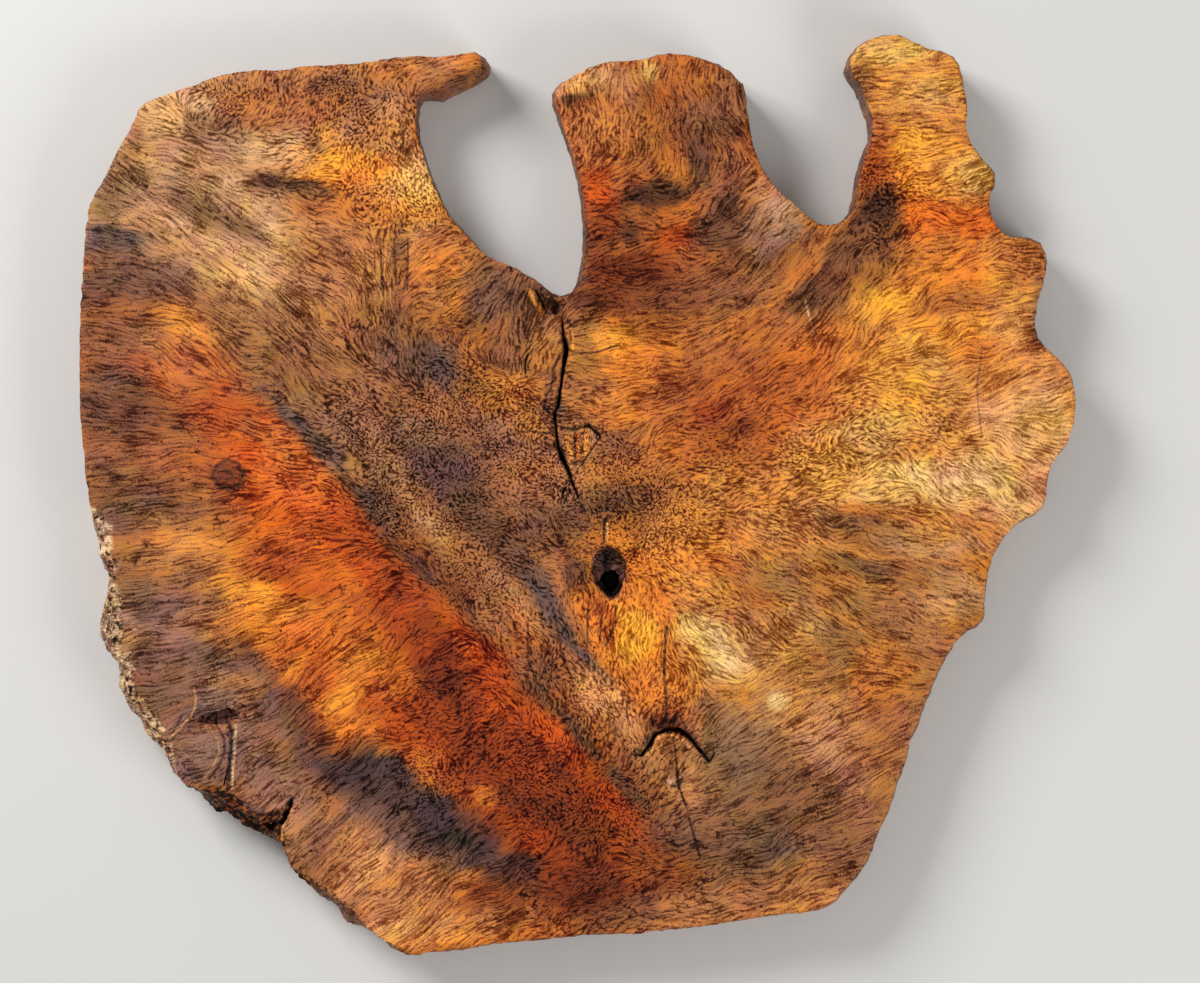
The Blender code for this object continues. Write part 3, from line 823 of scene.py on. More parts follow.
        ("rust", 874, 724, 28, 40, 0, 0.3),
        ("walnut", 798, 880, 50, 20, 8, 0.25),
        ("ember", 680, 722, 22, 14, 0, 0.4),
        ("honey", 374, 276, 18, 26, 0, 0.3),
        ("walnut", 320, 872, 30, 20, 40, 0.3),
        ("walnut", 172, 724, 24, 18, 0, 0.3),
    ],
    "band border": [
        ("slate", 285, 414, 26, 5, -46, 0.7),
        ("slate", 322, 451, 30, 6, -42, 0.8),
        ("umber", 352, 484, 24, 6, -50, 0.7),
        ("slate", 374, 504, 22, 8, -50, 0.6),
        ("olive", 402, 530, 26, 8, -48, 0.4),
        ("umber", 389, 541, 22, 5, -55, 0.6),
        ("plum", 418, 566, 26, 7, -44, 0.6),
        ("umber", 468, 610, 30, 5, -45, 0.4),
        ("clay", 516, 655, 40, 8, -58, 0.5),
        ("umber", 560, 715, 26, 5, -46, 0.6),
        ("umber", 592, 749, 30, 6, -48, 0.7),
        ("umber", 625, 785, 30, 6, -48, 0.7),
        ("umber", 657, 820, 30, 6, -46, 0.6),
        ("clay", 610, 748, 40, 7, -48, 0.4),
        ("flame", 280, 434, 34, 9, -46, 0.65),
        ("flame", 326, 484, 36, 10, -46, 0.5),
        ("ember", 360, 530, 30, 9, -55, 0.6),
        ("ember", 396, 574, 36, 10, -45, 0.5),
        ("flame", 440, 614, 36, 9, -42, 0.45),
        ("ember", 500, 676, 42, 10, -56, 0.6),
        ("ember", 545, 730, 30, 9, -46, 0.55),
        ("ember", 586, 775, 34, 10, -50, 0.6),
        ("ember", 628, 820, 36, 10, -46, 0.6),
        ("slate", 545, 612, 30, 7, -45, 0.6),
        ("slate", 576, 647, 28, 6, -52, 0.75),
        ("slate", 602, 674, 18, 4, -48, 0.6),
        ("amber", 594, 630, 36, 10, -55, 0.7),
        ("blush", 600, 693, 28, 14, -50, 0.6),
        ("salmon", 630, 722, 9, 18, -8, 0.5),
        ("salmon", 694, 728, 6, 20, 15, 0.5),
        # Over the crescent's arc and on its wings: painted shade
        ("oxblood", 668, 724, 14, 4, 0, 0.8),
        ("umber", 648, 741, 12, 4, 48, 0.7),
        ("umber", 690, 737, 12, 4, -44, 0.7),
        ("slate", 184, 708, 22, 5, 58, 0.6),
        ("slate", 200, 756, 36, 28, 0, 0.3),
        ("gold", 545, 352, 16, 12, 80, 0.3),
        ("mauve", 206, 744, 56, 46, 0, 0.35),
        ("mauve", 226, 680, 50, 26, 0, 0.25),
        ("mauve", 280, 802, 36, 44, 40, 0.35),
        ("mauve", 170, 640, 50, 60, 0, 0.15),
        ("mauve", 172, 400, 90, 110, 0, 0.12),
        ("mauve", 374, 122, 34, 30, 0, 0.25),
        ("mauve", 776, 218, 28, 22, 40, 0.25),
        ("mauve", 528, 428, 34, 26, 0, 0.2),
        ("sand", 298, 472, 46, 34, -40, 0.15),
        ("oxblood", 402, 616, 60, 26, -42, 0.18),
        ("oxblood", 320, 600, 40, 24, -20, 0.1),
        ("umber", 724, 226, 18, 26, 0, 0.35),
    ],
}

# Fine marks in the face: stain, half width, depth in metres, and the points that each passes
MARKS = [
    ("coffee", 1.1, 0.0006, ((666, 627), (664, 668), (667, 717))),
    ("coffee", 1.1, 0.0006, ((554, 610), (562, 653), (574, 686))),
    ("coffee", 1.0, 0.0005, ((603, 602), (600, 640))),
    ("coffee", 1.0, 0.0005, ((588, 610), (587, 650))),
    ("coffee", 1.0, 0.0005, ((616, 602), (615, 625), (606, 645))),
    ("ink", 1.1, 0.0006, ((604, 519), (604, 543))),
    ("sand", 0.7, 0.0, ((607, 519), (607, 541))),
    ("coffee", 1.1, 0.0004, ((380, 239), (383, 295))),
    ("coffee", 1.1, 0.0004, ((394, 239), (396, 285))),
    ("coffee", 1.1, 0.0004, ((408, 239), (407, 290))),
    ("cream", 7.4, 0.0, ((776, 700), (781, 702))),
    ("coffee", 1.5, 0.0005, (
        (243, 475), (239, 485), (229, 490), (218, 486), (213, 475), (217, 465), (228, 460),
        (239, 464), (243, 475),
    )),
    ("coffee", 1.2, 0.0003, ((224, 470), (231, 471), (233, 478), (226, 480))),
    ("ink", 2.2, 0.0012, ((559, 448), (563, 460), (567, 469))),
    ("ink", 1.0, 0.0006, ((571, 478), (577, 494), (583, 512))),
    ("ink", 1.0, 0.0006, ((571, 478), (570, 492), (563, 504))),
    ("coffee", 1.0, 0.0005, ((561, 352), (554, 368), (556, 384))),
    ("coffee", 1.0, 0.0005, ((566, 372), (572, 380))),
    ("walnut", 0.7, 0.0002, ((982, 351), (980, 366), (977, 384), (978, 402), (982, 438))),
    ("ink", 1.1, 0.0005, ((689, 818), (700, 857))),
    ("ink", 1.1, 0.0005, ((566, 318), (571, 325), (571, 335), (573, 343))),
    ("coffee", 1.1, 0.0005, ((541, 288), (546, 300), (549, 310))),
    ("ink", 1.0, 0.0005, ((662, 727), (667, 714))),
    ("ink", 1.0, 0.0005, ((673, 724), (677, 713))),
    ("coffee", 1.0, 0.0004, ((656, 729), (651, 722), (652, 714))),
    ("coffee", 1.0, 0.0004, ((688, 735), (684, 725), (680, 716))),
    # A pale line under the crescent: painted highlight on its lower lip
    ("blush", 0.9, 0.0, ((646, 752), (654, 741), (662, 735), (672, 735), (682, 740), (692, 750))),
    ("coffee", 1.0, 0.0005, ((528, 624), (528, 660), (540, 686))),
    ("coffee", 1.0, 0.0004, ((628, 692), (627, 712))),
    ("crust", 1.8, 0.0, ((669, 781), (671, 782))),
    ("ink", 1.5, 0.0005, ((672, 786), (678, 786), (682, 779))),
    ("walnut", 0.8, 0.0002, ((125, 171), (195, 244), (240, 278))),
    ("blush", 0.8, 0.0, ((194, 688), (196, 698), (195, 708), (190, 718), (181, 727), (172, 736))),
    ("crust", 1.0, 0.0, ((236, 727), (235, 745), (233, 765), (232, 788))),
    ("ink", 1.7, 0.0010, ((228, 722), (232, 733), (231, 752), (229, 770), (228, 790))),
    ("blush", 0.8, 0.0, ((292, 808), (284, 824), (281, 840))),
    ("crust", 0.9, 0.0, ((170, 738), (172, 752), (175, 768), (181, 786))),
    ("crust", 0.7, 0.0, ((805, 300), (808, 312), (811, 322), (817, 343))),
    ("gold", 1.6, 0.0, ((567, 437), (573, 461))),
    ("gold", 1.5, 0.0, ((529, 290), (534, 302), (541, 311))),
    ("coffee", 1.1, 0.0005, ((553, 368), (552, 386), (546, 396), (545, 408), (549, 412))),
    ("gold", 1.1, 0.0, ((571, 328), (573, 338), (573, 350))),
    ("ink", 1.8, 0.0008, ((586, 424), (592, 428), (597, 434))),
    ("sand", 1.1, 0.0, ((590, 429), (594, 436), (592, 442))),
    ("coffee", 1.0, 0.0005, ((575, 437), (576, 452), (574, 466))),
    ("coffee", 1.0, 0.0005, ((584, 444), (579, 456), (575, 467))),
    ("coffee", 0.9, 0.0003, ((503, 437), (528, 431), (553, 434))),
    ("coffee", 0.9, 0.0003, ((571, 354), (598, 352), (620, 344))),
    ("coffee", 1.2, 0.0008, ((217, 726), (224, 738), (225, 752), (219, 766), (209, 779))),
    ("tan", 0.7, 0.0, ((212, 731), (218, 741), (219, 753), (213, 766), (204, 778))),
    ("amber", 1.6, 0.0, ((577, 434), (579, 459))),
    ("gold", 1.4, 0.0, ((587, 436), (585, 454))),
]

# The inner border of the crust along the live edge, from its top down
CRUST_BORDER = (
    (94, 507), (104, 519), (109, 540), (113, 565), (119, 592), (122, 612), (124, 635),
    (120, 650), (127, 662), (131, 675), (134, 689), (144, 704), (155, 718), (169, 731),
)

# How the grain runs: x, y, the angle that it rises to the right, and how straight it is
GRAIN = {
    "left lobe": [
        (150, 130, -25, 0.8), (130, 190, -32, 0.9), (200, 160, -18, 0.8),
        (190, 210, -33, 1.0), (110, 240, -8, 0.8), (240, 240, -33, 1.0),
        (300, 200, -20, 0.7), (260, 290, -36, 1.0), (330, 260, -35, 0.9),
        (380, 300, -80, 0.7), (400, 340, -85, 0.6), (220, 100, 70, 0.3),
        (350, 110, 80, 0.3), (400, 110, 85, 0.4), (310, 165, 20, 0.4),
        (370, 200, -80, 0.3), (420, 210, -60, 0.3), (430, 250, 22, 0.7),
        (460, 280, 25, 0.7), (430, 310, 20, 0.6), (450, 65, 15, 0.8),
        (150, 330, -20, 0.8), (190, 350, -35, 0.8), (120, 380, 0, 0.9),
        (250, 340, -25, 0.8), (300, 340, -45, 0.7),
    ],
    "left side": [
        (120, 440, 3, 1.0), (180, 430, 3, 1.0), (160, 500, 8, 1.0),
        (230, 400, -8, 0.8), (300, 470, 8, 0.7), (130, 560, 8, 1.0),
        (200, 560, 12, 1.0), (280, 560, 20, 0.9), (330, 600, 32, 1.0),
        (250, 620, 20, 1.0), (150, 620, 10, 1.0), (180, 680, 12, 1.0),
        (330, 660, 36, 1.0), (400, 640, 35, 0.9), (300, 720, 38, 0.9),
        (420, 700, 32, 0.4), (200, 760, 20, 0.7), (270, 770, 35, 0.9),
    ],
    "foot": [
        (300, 830, 45, 1.0), (340, 870, 42, 1.0), (400, 900, 38, 1.0),
        (450, 860, 38, 0.8), (430, 780, 35, 0.3), (480, 900, 32, 0.9),
        (560, 900, 25, 0.5), (540, 800, 30, 0.3), (620, 820, 60, 0.3),
        (650, 880, 20, 0.5),
    ],
    "centre": [
        (400, 500, -20, 0.2), (470, 580, -45, 0.3), (540, 660, -50, 0.4),
        (350, 420, -35, 0.3), (590, 690, -60, 0.4), (600, 460, -10, 0.2),
        (640, 400, 12, 0.7), (620, 340, 0, 0.9), (700, 360, 25, 0.8),
        (760, 340, 35, 0.9), (730, 440, 20, 0.4), (650, 520, 0, 0.2),
        (530, 330, 80, 0.7), (520, 290, 60, 0.7), (500, 420, -10, 0.2),
        (450, 430, -30, 0.2), (440, 360, -60, 0.3), (610, 640, 85, 0.5),
        (640, 640, 80, 0.5), (665, 690, 88, 0.4), (690, 650, -30, 0.5),
        (720, 660, -35, 0.6),
    ],
    "right side": [
        (720, 600, -30, 0.5), (780, 620, -40, 0.7), (840, 600, -32, 0.8),
        (900, 580, -18, 0.8), (930, 620, -22, 0.7), (880, 650, -24, 0.9),
        (740, 720, 32, 0.8), (780, 780, 32, 1.0), (850, 720, 29, 1.0),
        (768, 692, 32, 0.9), (826, 692, 29, 0.9),
        (900, 740, 28, 1.0), (850, 800, 28, 1.0), (830, 860, 23, 0.9),
        (730, 850, 22, 0.7), (700, 900, 12, 0.7), (780, 900, 14, 0.8),
        (800, 450, 8, 0.4), (870, 430, 10, 0.4), (940, 420, -15, 0.4),
        (1000, 400, 25, 0.9), (1030, 450, -35, 0.7), (980, 500, -28, 0.7),
        (1040, 380, 22, 0.9), (950, 340, 5, 0.8), (1000, 300, 15, 0.9),
        (1020, 260, 8, 0.6), (900, 290, 30, 0.7), (850, 330, 52, 0.8),
    ],
    "right prong": [
        (900, 60, 10, 0.9), (880, 110, 0, 0.7), (920, 130, 5, 0.7),
        (960, 150, 5, 0.8), (920, 200, 10, 0.4), (970, 210, 15, 0.7),
        (880, 180, 40, 0.3), (870, 240, 60, 0.3), (800, 240, 52, 1.0),
        (770, 260, 48, 1.0), (820, 260, 60, 1.0),
    ],
    "middle lobe": [
        (750, 220, 40, 0.8), (720, 290, 25, 0.8), (700, 250, 5, 0.6),
        (600, 200, 10, 0.5), (600, 130, 70, 0.5), (640, 100, 85, 0.7),
        (690, 120, -70, 0.6), (725, 120, -60, 0.6), (660, 300, 5, 0.7),
        (600, 280, 5, 0.5),
    ],
}

# How strongly the streaks stand out from their stain: x, y, reach and strength
CONTRAST = [
    (350, 570, 160, 0.42), (520, 760, 150, 0.42), (640, 840, 90, 0.40),
    (420, 800, 80, 0.28), (230, 250, 120, 0.30), (170, 180, 80, 0.26),
    (330, 120, 90, 0.28), (430, 360, 80, 0.36), (440, 540, 120, 0.28),
    (700, 380, 120, 0.26), (660, 200, 100, 0.30), (1010, 430, 90, 0.12),
    (900, 300, 80, 0.18), (900, 80, 60, 0.18), (650, 640, 50, 0.13),
    (730, 670, 50, 0.18), (420, 900, 80, 0.22), (850, 570, 90, 0.27),
    (800, 800, 110, 0.28), (180, 650, 90, 0.28),
]


def sheet_grid():
    """The sheet places of the noise fields' own points."""
    rows = SHEET_SIZE[1] // SHEET_STEP + 1
    columns = SHEET_SIZE[0] // SHEET_STEP + 1
    ys, xs = np.mgrid[0:rows, 0:columns].astype(float)
    return xs * SHEET_STEP, ys * SHEET_STEP


def sheet_noise(draw, spread):
    """Smooth noise over the drawing sheet, with blots about spread units across."""
    field = draw.standard_normal(sheet_grid()[0].shape)
    radius = spread / SHEET_STEP
    reach = int(radius * 3) + 1
    steps = np.arange(-reach, reach + 1)
    weights = np.exp(-0.5 * (steps / radius) ** 2)
    for axis in (0, 1):
        total = np.zeros_like(field)
        for step, weight in zip(steps, weights):
            total += weight * np.roll(field, step, axis=axis)
        field = total
    return (field - field.mean()) / field.std()


def read_sheet(field, xs, ys):
    """The field's value at each sheet place, eased between its own points."""
    column = np.clip(xs / SHEET_STEP, 0, field.shape[1] - 1.001)
    row = np.clip(ys / SHEET_STEP, 0, field.shape[0] - 1.001)
    left = column.astype(int)
    top = row.astype(int)
    across = column - left
    down = row - top
    upper = field[top, left] * (1 - across) + field[top, left + 1] * across
    lower = field[top + 1, left] * (1 - across) + field[top + 1, left + 1] * across
    return upper * (1 - down) + lower * down


def grain_at(xs, ys):
    """The grain's doubled angle, in radians, and its straightness at each sheet place."""
    cosines = np.zeros_like(xs)
    sines = np.zeros_like(xs)
    straight = np.zeros_like(xs)
    total = np.zeros_like(xs)
    for guides in GRAIN.values():
        for x, y, angle, straightness in guides:
            weight = ((xs - x) ** 2 + (ys - y) ** 2 + GUIDE_EASE) ** GUIDE_FALL
            cosines += weight * math.cos(math.radians(2 * angle))
            sines += weight * math.sin(math.radians(2 * angle))
            straight += weight * straightness
            total += weight
    return np.arctan2(sines, cosines), straight / total


def drag(field, doubled, reach, steps):
    """The field smeared along the grain, as an even streak noise."""
    rows, columns = np.mgrid[0:field.shape[0], 0:field.shape[1]]
    along_x = np.cos(doubled / 2)
    along_y = np.sin(doubled / 2)
    total = np.zeros_like(field)
    for step in range(-steps, steps + 1):
        offset = reach * step / steps / SHEET_STEP
        column = np.clip(np.rint(columns + along_x * offset), 0, field.shape[1] - 1)
        row = np.clip(np.rint(rows - along_y * offset), 0, field.shape[0] - 1)
        total += field[row.astype(int), column.astype(int)]
    return (total - total.mean()) / total.std()


def contrast_at(xs, ys):
    """How strongly the streaks stand out at each sheet place."""
    strength = np.full_like(xs, PLAIN_CONTRAST)
    total = np.ones_like(xs)
    for x, y, reach, value in CONTRAST:
        far = ((xs - x) ** 2 + (ys - y) ** 2) / (2 * (reach * CONTRAST_NARROWING) ** 2)
        weight = CONTRAST_GRIP * np.exp(-far)
        strength += weight * value
        total += weight
    return strength / total


def sheet_places(places):
    """Where points lie on the drawing sheet."""
    xs = places[:, 0] / SHEET_UNIT + SHEET_MIDDLE[0]
    ys = SHEET_MIDDLE[1] - places[:, 1] / SHEET_UNIT
    return xs, ys


def distance_to_line(xs, ys, points):
    """How far each sheet place lies from a line through the points."""
    nearest = np.full_like(xs, 1e6)
    for (x0, y0), (x1, y1) in zip(points, points[1:]):
        run = (x1 - x0) ** 2 + (y1 - y0) ** 2
        share = np.clip(((xs - x0) * (x1 - x0) + (ys - y0) * (y1 - y0)) / run, 0.0, 1.0)
        gap = np.hypot(xs - x0 - share * (x1 - x0), ys - y0 - share * (y1 - y0))
        nearest = np.minimum(nearest, gap)
    return nearest


def past_crust_border(xs, ys):
    """How far each sheet place lies out past the crust's inner border; negative inside it."""
    border = np.array(CRUST_BORDER, float)
    past = np.interp(ys, border[:, 1], border[:, 0]) - xs
    beside = (ys > border[0, 1]) & (ys < border[-1, 1])
    return np.where(beside, past, FAR_INSIDE)


def paint(xs, ys, feather, patches, ground):
    """Stains laid one over another at each sheet place; the feather frays their borders."""
    colour = np.tile(np.array(STAINS[ground], float), (len(xs), 1))
    for stain, x, y, half_length, half_width, turn, strength in patches:
        angle = math.radians(turn)
        right = xs - x
        up = y - ys
        along = (right * math.cos(angle) + up * math.sin(angle)) / (PATCH_SCALE * half_length)
        across = (up * math.cos(angle) - right * math.sin(angle)) / (PATCH_SCALE * half_width)
        fray = PATCH_FRAY + SMALL_PATCH_FRAY / min(half_length, half_width)
        cover = eased((PATCH_END - (np.hypot(along, across) + feather * fray)) / PATCH_SOFTNESS)
        colour += (np.array(STAINS[stain], float) - colour) * (cover * strength)[:, None]
    return colour


def eased(values):
    """Values held between 0 and 1, with a soft start and end."""
    held = np.clip(values, 0.0, 1.0)
    return held * held * (3 - 2 * held)


def light_value(shown):
    """Shown colour, 0 to 1, as the linear light that a shader works in."""
    shown = np.clip(shown, 0.0, 1.0)
    return np.where(shown <= 0.04045, shown / 12.92, ((shown + 0.055) / 1.055) ** 2.4)


# Geometry of the slab

def select_only(obj):
    """Leave one object selected and active."""
    bpy.ops.object.select_all(action="DESELECT")
    obj.select_set(True)
    bpy.context.view_layer.objects.active = obj


def deselect_faces(slab):
    """Leave no part of the slab's mesh selected."""
    select_only(slab)
    bpy.ops.object.mode_set(mode="EDIT")
    bpy.ops.mesh.select_all(action="DESELECT")
    bpy.ops.object.mode_set(mode="OBJECT")


def cut_selected(slab, cuts):
    """Cut the edges of the selected faces evenly."""
    select_only(slab)
    bpy.ops.object.mode_set(mode="EDIT")
    bpy.ops.mesh.subdivide(number_cuts=cuts, smoothness=0.0)
    bpy.ops.object.mode_set(mode="OBJECT")


def copy_of_solid():
    """A loose copy of the CAD solid, its triangles merged to whole faces."""
    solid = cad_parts["burl_slab"]
    slab = solid.copy()
    slab.data = solid.data.copy()
    slab.parent = None
    for key in list(slab.keys()):
        del slab[key]
    slab.name = "burl_slab_wood"
    bpy.context.scene.collection.objects.link(slab)
    select_only(slab)
    bpy.ops.object.mode_set(mode="EDIT")
    bpy.ops.mesh.select_all(action="SELECT")
    bpy.ops.mesh.remove_doubles(threshold=WELD_GAP)
    bpy.ops.mesh.dissolve_limited(angle_limit=FLAT_ANGLE)
    bpy.ops.mesh.select_all(action="DESELECT")
    bpy.ops.object.mode_set(mode="OBJECT")
    return slab


def on_live_edge(x, y):
    """Whether a place lies by the barked stretch of the outline, at the lower left."""
    return (y < LIVE_FROM) & (x + LIVE_SLANT * y < LIVE_LINE)


def refine_walls(slab):
    """Cut each face of the walls in three, both ways, and those of the live edge in six."""
    for face in slab.data.polygons:
        face.select = abs(face.normal.z) < WALL_NORMAL
    bpy.ops.object.mode_set(mode="EDIT")
    bpy.ops.mesh.tris_convert_to_quads(face_threshold=0.9, shape_threshold=0.9)
    bpy.ops.mesh.subdivide(number_cuts=WALL_CUTS, smoothness=0.0)
    bpy.ops.mesh.select_all(action="DESELECT")
    bpy.ops.object.mode_set(mode="OBJECT")
    for face in slab.data.polygons:
        steep = abs(face.normal.z) < WALL_NORMAL
        face.select = steep and bool(on_live_edge(face.center.x, face.center.y))
    cut_selected(slab, LIVE_CUTS)


def squared_block(cell, height, depth):
    """A block whose one flat side is squared in cells, and lies at the given height."""
    across = round(BLOCK_SIZE[0] / cell)
    down = round(BLOCK_SIZE[1] / cell)
    bpy.ops.object.select_all(action="DESELECT")
    bpy.ops.mesh.primitive_grid_add(
        x_subdivisions=across, y_subdivisions=down, size=1.0, location=(0, 0, height)
    )
    block = bpy.context.object
    block.scale = (BLOCK_SIZE[0], BLOCK_SIZE[1], 1.0)
    bpy.ops.object.transform_apply(location=True, rotation=False, scale=True)
    bpy.ops.object.mode_set(mode="EDIT")
    bpy.ops.mesh.select_all(action="DESELECT")
    bpy.ops.mesh.select_mode(type="EDGE")
    bpy.ops.mesh.select_non_manifold()
    bpy.ops.mesh.extrude_edges_move(TRANSFORM_OT_translate={"value": (0, 0, depth)})
    bpy.ops.mesh.edge_face_add()
    bpy.ops.mesh.select_all(action="SELECT")
    bpy.ops.mesh.normals_make_consistent(inside=False)
    bpy.ops.object.mode_set(mode="OBJECT")
    return block


def keep_inside(slab, block):
    """Trim the slab to the block, which leaves the block's squares on its flat side."""
    trim = slab.modifiers.new("squares", "BOOLEAN")
    trim.operation = "INTERSECT"
    trim.solver = "EXACT"
    trim.object = block
    select_only(slab)
    bpy.ops.object.modifier_apply(modifier=trim.name)
    bpy.data.objects.remove(block, do_unlink=True)


def on_face(places, slack):
    """Which points lie on the face, or less than the slack below it."""
    return places[:, 2] > FACE_HEIGHT - slack


def refine_marks(slab):
    """Cut the face finer where a fine mark runs and where the crust lies on it."""
    deselect_faces(slab)
    centres = np.empty(len(slab.data.polygons) * 3)
    slab.data.polygons.foreach_get("center", centres)
    centres = centres.reshape(-1, 3)
    xs, ys = sheet_places(centres)
    near = past_crust_border(xs, ys) > -1.0
    for *_, points in MARKS:
        near |= distance_to_line(xs, ys, points) < MARK_REACH
    near &= on_face(centres, FACE_SLACK)
    slab.data.polygons.foreach_set("select", near)
    cut_selected(slab, MARK_CUTS)
    deselect_faces(slab)


def places_of(slab):
    """The slab's points as an array of x, y and z."""
    flat = np.empty(len(slab.data.vertices) * 3)
    slab.data.vertices.foreach_get("co", flat)
    return flat.reshape(-1, 3)


def normals_of(slab):
    """The directions that the slab's points face, as an array of x, y and z."""
    flat = np.empty(len(slab.data.vertices) * 3)
    slab.data.vertices.foreach_get("normal", flat)
    return flat.reshape(-1, 3)


def put_places(slab, places):
    """Move the slab's points to their new places."""
    slab.data.vertices.foreach_set("co", places.ravel())
    slab.data.update()


def score_marks(slab):
    """Sink the dark marks into the face as fine grooves."""
    places = places_of(slab)
    xs, ys = sheet_places(places)
    face = on_face(places, FACE_SLACK)
    for _, half_width, depth, points in MARKS:
        gap = distance_to_line(xs, ys, points) / (GROOVE_WIDTH * half_width)
        places[:, 2] -= face * depth * np.clip(1.0 - gap * gap, 0.0, 1.0)
    put_places(slab, places)


def outer_distance(places):
    """How far each point lies, in plan, from the foot of the outer wall."""
    low = places[(places[:, 2] > WALL_FOOT[0]) & (places[:, 2] < WALL_FOOT[1])]
    tree = kdtree.KDTree(len(low))
    for index, place in enumerate(low):
        tree.insert((place[0], place[1], 0.0), index)
    tree.balance()
    below = places[:, 2] < FACE_HEIGHT - RIM_SLACK
    distance = np.full(len(places), 1.0)
    for index in np.nonzero(below)[0]:
        distance[index] = tree.find((places[index, 0], places[index, 1], 0.0))[2]
    return distance


def rim_points(slab, places):
    """The points along which the face meets a wall."""
    rim = np.zeros(len(places), bool)
    for face in slab.data.polygons:
        if face.normal.z < RIM_NORMAL:
            rim[list(face.vertices)] = True
    return rim & (places[:, 2] >= FACE_HEIGHT - RIM_SLACK)


def outward_from(normal):
    """The level direction that a point of a wall faces."""
    outward = Vector((normal[0], normal[1], 0.0))
    if outward.length > LEAST_LEAN:
        outward.normalize()
    return np.array(outward)


def worn_shift(place, outward):
    """How the worn rim wanders to and fro and sinks at a place."""
    wander = noise.noise(place / RIM_BENDS) + NICK_SHARE * noise.noise(place / RIM_NICKS)
    shift = outward * wander * RIM_WANDER
    shift[2] -= WORN_RIM * (1.0 + noise.noise(place / WORN_DIPS))
    return shift


def rough_shift(place, outward):
    """How far the wall's crust or torn fibre sinks in at a place."""
    crust = noise.turbulence(place / CRUST_SIZE, CRUST_LAYERS, False) - CRUST_LEVEL
    if not on_live_edge(place.x, place.y):
        return -outward * crust * CRUST_DEPTH
    knobs = noise.noise(place / KNOB_SIZE)
    pits = max(0.0, noise.noise(place / PIT_SIZE) - PIT_LEVEL)
    crust = CRUST_SHARE * crust - KNOB_SHARE * knobs + PIT_SHARE * pits
    begun = min(1.0, max(0.0, (LIVE_FROM - place.y) / LIVE_BEGINS))
    return -outward * crust * (CRUST_DEPTH + begun * (LIVE_CRUST_DEPTH - CRUST_DEPTH))


def sink_crusted_face(places):
    """Lower the face in knobs where the crust lies on it."""
    xs, ys = sheet_places(places)
    crusted = on_face(places, WORN_SLACK) & (past_crust_border(xs, ys) > 0.0)
    for index in np.nonzero(crusted)[0]:
        place = Vector(places[index])
        knobs = noise.noise(place / FACE_KNOB_SIZE) + PIT_SHARE * noise.noise(place / PIT_SIZE)
        places[index, 2] -= max(0.0, FACE_CRUST_LEVEL + knobs) * FACE_CRUST_DEPTH


def roughen_walls(slab):
    """Give the live edge its crust, the hollows their torn fibre, and the rim its wear."""
    places = places_of(slab)
    normals = normals_of(slab)
    walls = ~on_face(places, RIM_SLACK) & (places[:, 2] > SOLE_HEIGHT + RIM_SLACK)
    rim = rim_points(slab, places)
    for index in np.nonzero(walls | rim)[0]:
        shift = worn_shift if rim[index] else rough_shift
        places[index] += shift(Vector(places[index]), outward_from(normals[index]))
    sink_crusted_face(places)
    put_places(slab, np.minimum(np.maximum(places, CAD_BOX[0]), CAD_BOX[1]))


def make_slab():
    """The slab's wood, fine enough to carry its figure point by point."""
    slab = copy_of_solid()
    refine_walls(slab)
    keep_inside(slab, squared_block(FACE_CELL, FACE_HEIGHT, -BLOCK_DEPTH))
    keep_inside(slab, squared_block(SOLE_CELL, SOLE_HEIGHT, BLOCK_DEPTH))
    refine_marks(slab)
    roughen_walls(slab)
    score_marks(slab)
    select_only(slab)
    bpy.ops.object.shade_smooth_by_angle(angle=math.radians(SHARP_ANGLE))
    return slab


# Stains of the slab, and painted shade in its hollows

def store(mesh, name, kind, values):
    """Write a row of values for each point of the mesh."""
    mesh.attributes.new(name, kind, "POINT")
    field = "color" if kind == "FLOAT_COLOR" else "vector"
    mesh.attributes[name].data.foreach_set(field, np.ascontiguousarray(values, float).ravel())


def speckle(places, chosen, size):
    """Noise with knobs of the given size, at the chosen points; 0 at the others."""
    values = np.zeros(len(places))
    for index in np.nonzero(chosen)[0]:
        values[index] = noise.noise(Vector(places[index]) / size)
    return values


def blend(colour, stain, share):
    """Lay a stain over the colours, each by its own share."""
    share = np.clip(share, 0.0, 1.0)[:, None]
    return colour + (np.array(STAINS[stain]) / 255.0 - colour) * share


def lay_coats(colour, where, coats, speckles):
    """Lay coats of stain on a part of the walls, each moved by the two speckles."""
    coarse, fine = speckles
    for stain, share, by_coarse, by_fine in coats:
        colour = blend(colour, stain, where * (share + by_coarse * coarse + by_fine * fine))
    return colour


def near_to(xs, ys, place, reach):
    """Which sheet places lie within reach of one place."""
    return np.hypot(xs - place[0], ys - place[1]) < reach


def stain_live_edge_and_shade_gash(xs, ys, live, past, speckles, colour):
    """Colour the live edge: cream crust, then the gash, dark with painted shade, then the plainer
    foot.
    """
    coarse = speckles[0]
    frayed = ys + ROW_FRAY * coarse
    begun = np.clip((ys - CRUST_ROWS[0]) / CRUST_FADE + CRUST_TOP_FRAY * coarse, 0.0, 1.0)
    crusted = live * begun * (frayed < CRUST_ROWS[1])
    spilled = BORDER_RISE * past + BORDER_FRAY * coarse
    crusted = np.maximum(crusted, np.clip(spilled, 0.0, 1.0))
    gash = live & (frayed > GASH_ROWS[0]) & (ys < GASH_ROWS[1]) & (xs > GASH_FROM)
    foot = live & (ys >= GASH_ROWS[1])
    colour = lay_coats(colour, crusted, CRUST_COATS, speckles)
    colour = lay_coats(colour, gash, GASH_SHADE_COATS, speckles)
    return lay_coats(colour, foot, FOOT_COATS, speckles)


